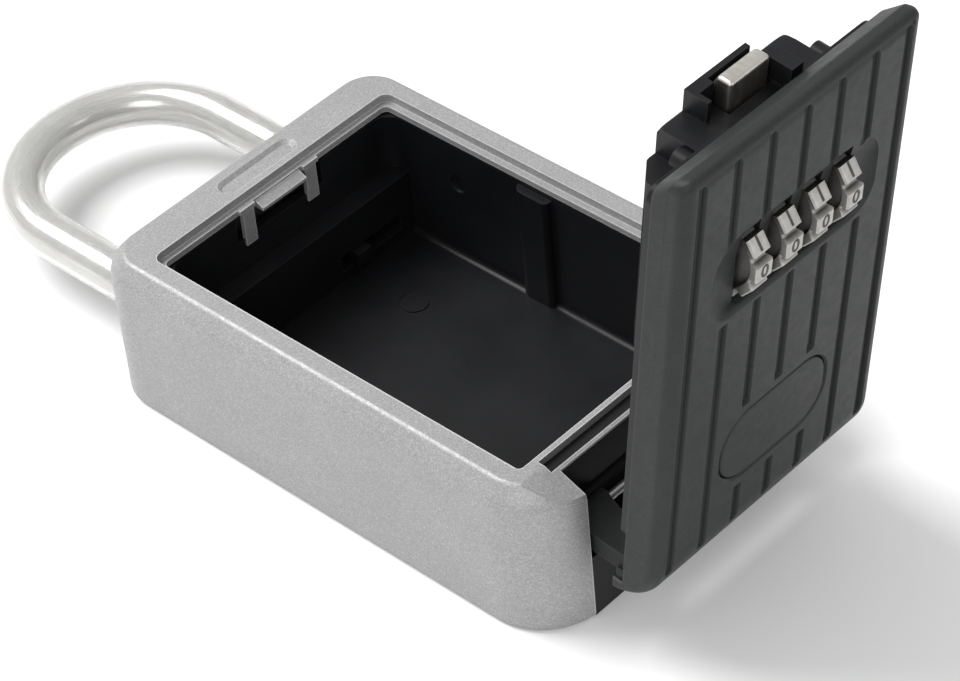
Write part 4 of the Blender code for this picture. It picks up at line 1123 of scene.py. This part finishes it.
def build_screw(number, x, u):
    """A domed head with a cross recess, and a shank."""
    head = PLATE[2] + 0.1
    corners = [(0.0, head), (2.5, head + 0.1), (2.5, head + 1.2), (1.25, head + 1.2)]
    corners += [(1.25, head + 5.9), (0.0, head + 5.9)]
    profile = rounded_line(corners, (0.5, 0.1, 0.1, 0.2), 3)
    rings = []
    for radius, level in profile:
        size = max(radius, 0.02)
        ring = []
        for step in range(40):
            angle = 2 * math.pi * step / 40
            ring.append((x + size * math.cos(angle), u + size * math.sin(angle), level))
        rings.append(ring)
    screw = raw_object(f"cover_screw_{number}", loft_mesh(rings))
    cross = []
    for wide, long in ((0.28, 1.45), (1.45, 0.28)):
        slot_low = (x - wide, u - long, head - 1)
        cross.append(cut(box_mesh(slot_low, (x + wide, u + long, head + 0.75))))
    carve(screw, cross)
    tidy_mesh(screw)
    soften(screw, 0.08)
    place(screw, SCREW, "door", [f"back_screw_{number}"], on_door=True)


def refine(node, name, material, body, width, on_door=False):
    """A CAD node's own shape with its sharp edges rounded."""
    thing = copy_of(node, name, on_door)
    soften(thing, width)
    return place(thing, material, body, [node], on_door)


def build_details():
    refine("shackle_lock_housing", "leg_block", BLACK, "root", 0.35)
    refine("shackle_lock_slider", "leg_slider", BLACK, "shackle_slider", 0.3)
    refine("release_slide", "release_link", GREY, "latch", 0.2, True)
    refine("reset_lever", "code_lever", GREY, "reset", 0.3, True)
    refine("dial_axle", "wheel_axle", STEEL, "door", 0.25, True)
    refine("hinge_pin", "hinge_rod", ROD, "root", 0.2)
    keep = {"detent_spring": SPRING, "slider_spring": SPRING, "button_spring": SPRING}
    keep |= {"latch_spring_left": SPRING, "latch_spring_right": SPRING}
    keep |= {f"code_sleeve_{number}": BRASS for number in range(1, DIALS + 1)}
    for node, finish in keep.items():
        slots = frame["nodes"][node].data.materials
        slots.clear()
        slots.append(finish)


# ---------------------------------------------------------------- stage, light and camera


def build_stage():
    edit = bmesh.new()
    bmesh.ops.create_grid(edit, x_segments=2, y_segments=2, size=3.0)
    mesh = bpy.data.meshes.new("floor")
    edit.to_mesh(mesh)
    edit.free()
    floor = bpy.data.objects.new("floor", mesh)
    bpy.context.scene.collection.objects.link(floor)
    floor.location = (0.0, 0.0, -0.0002)
    n = Nodes("floor_finish")
    tone = n.ramp(n.noise(3.0, 2.0), [(0.3, 0.84), (0.7, 0.87)])
    mesh.materials.append(n.set(Base_Color=tone, Roughness=0.7))


def area_light(name, place_at, target, size, power, tint=(1.0, 1.0, 1.0)):
    data = bpy.data.lights.new(name, "AREA")
    data.shape = "DISK"
    data.size = size
    data.energy = power
    data.color = tint
    lamp = bpy.data.objects.new(name, data)
    bpy.context.scene.collection.objects.link(lamp)
    lamp.location = place_at
    aim = Vector(target) - Vector(place_at)
    lamp.rotation_euler = aim.to_track_quat("-Z", "Y").to_euler()
    return lamp


def build_light():
    world = bpy.data.worlds.new("studio")
    world.use_nodes = True
    world.node_tree.nodes["Background"].inputs["Color"].default_value = (1.0, 1.0, 1.0, 1.0)
    world.node_tree.nodes["Background"].inputs["Strength"].default_value = 0.68
    bpy.context.scene.world = world
    area_light("key", (-0.25, 0.75, 1.1), (0, 0, 0.03), 0.9, 20.0)
    area_light("fill", (-1.0, -0.5, 0.7), (0, 0, 0.04), 0.8, 4.2)
    area_light("front", (0.25, -1.3, 0.3), (0, -0.08, 0.07), 0.9, 4.5)
    bpy.context.scene.view_settings.view_transform = "Standard"


CAMERA_AT = Vector((-0.37502, -0.40214, 0.50269))
CAMERA_AZIMUTH = -43.50
CAMERA_ELEVATION = 41.51
CAMERA_ROLL = -5.79
CAMERA_LENS = 140.34


def build_camera():
    data = bpy.data.cameras.new("camera")
    data.lens = CAMERA_LENS
    data.sensor_width = 36.0
    data.clip_start = 0.01
    camera = bpy.data.objects.new("camera", data)
    bpy.context.scene.collection.objects.link(camera)
    turn = Matrix.Rotation(math.radians(CAMERA_AZIMUTH), 4, "Z")
    tip = Matrix.Rotation(math.radians(90 - CAMERA_ELEVATION), 4, "X")
    roll = Matrix.Rotation(math.radians(CAMERA_ROLL), 4, "Z")
    camera.matrix_world = Matrix.Translation(CAMERA_AT) @ turn @ tip @ roll
    bpy.context.scene.camera = camera


build_case()
build_tray()
build_shackle()
build_door()
build_button()
build_lock_housing()
build_bolt()
for dial in range(DIALS):
    build_wheel(dial)
for count, (screw_x, screw_u) in enumerate(SCREWS, 1):
    build_screw(count, screw_x, screw_u)
build_details()
build_stage()
build_light()
build_camera()
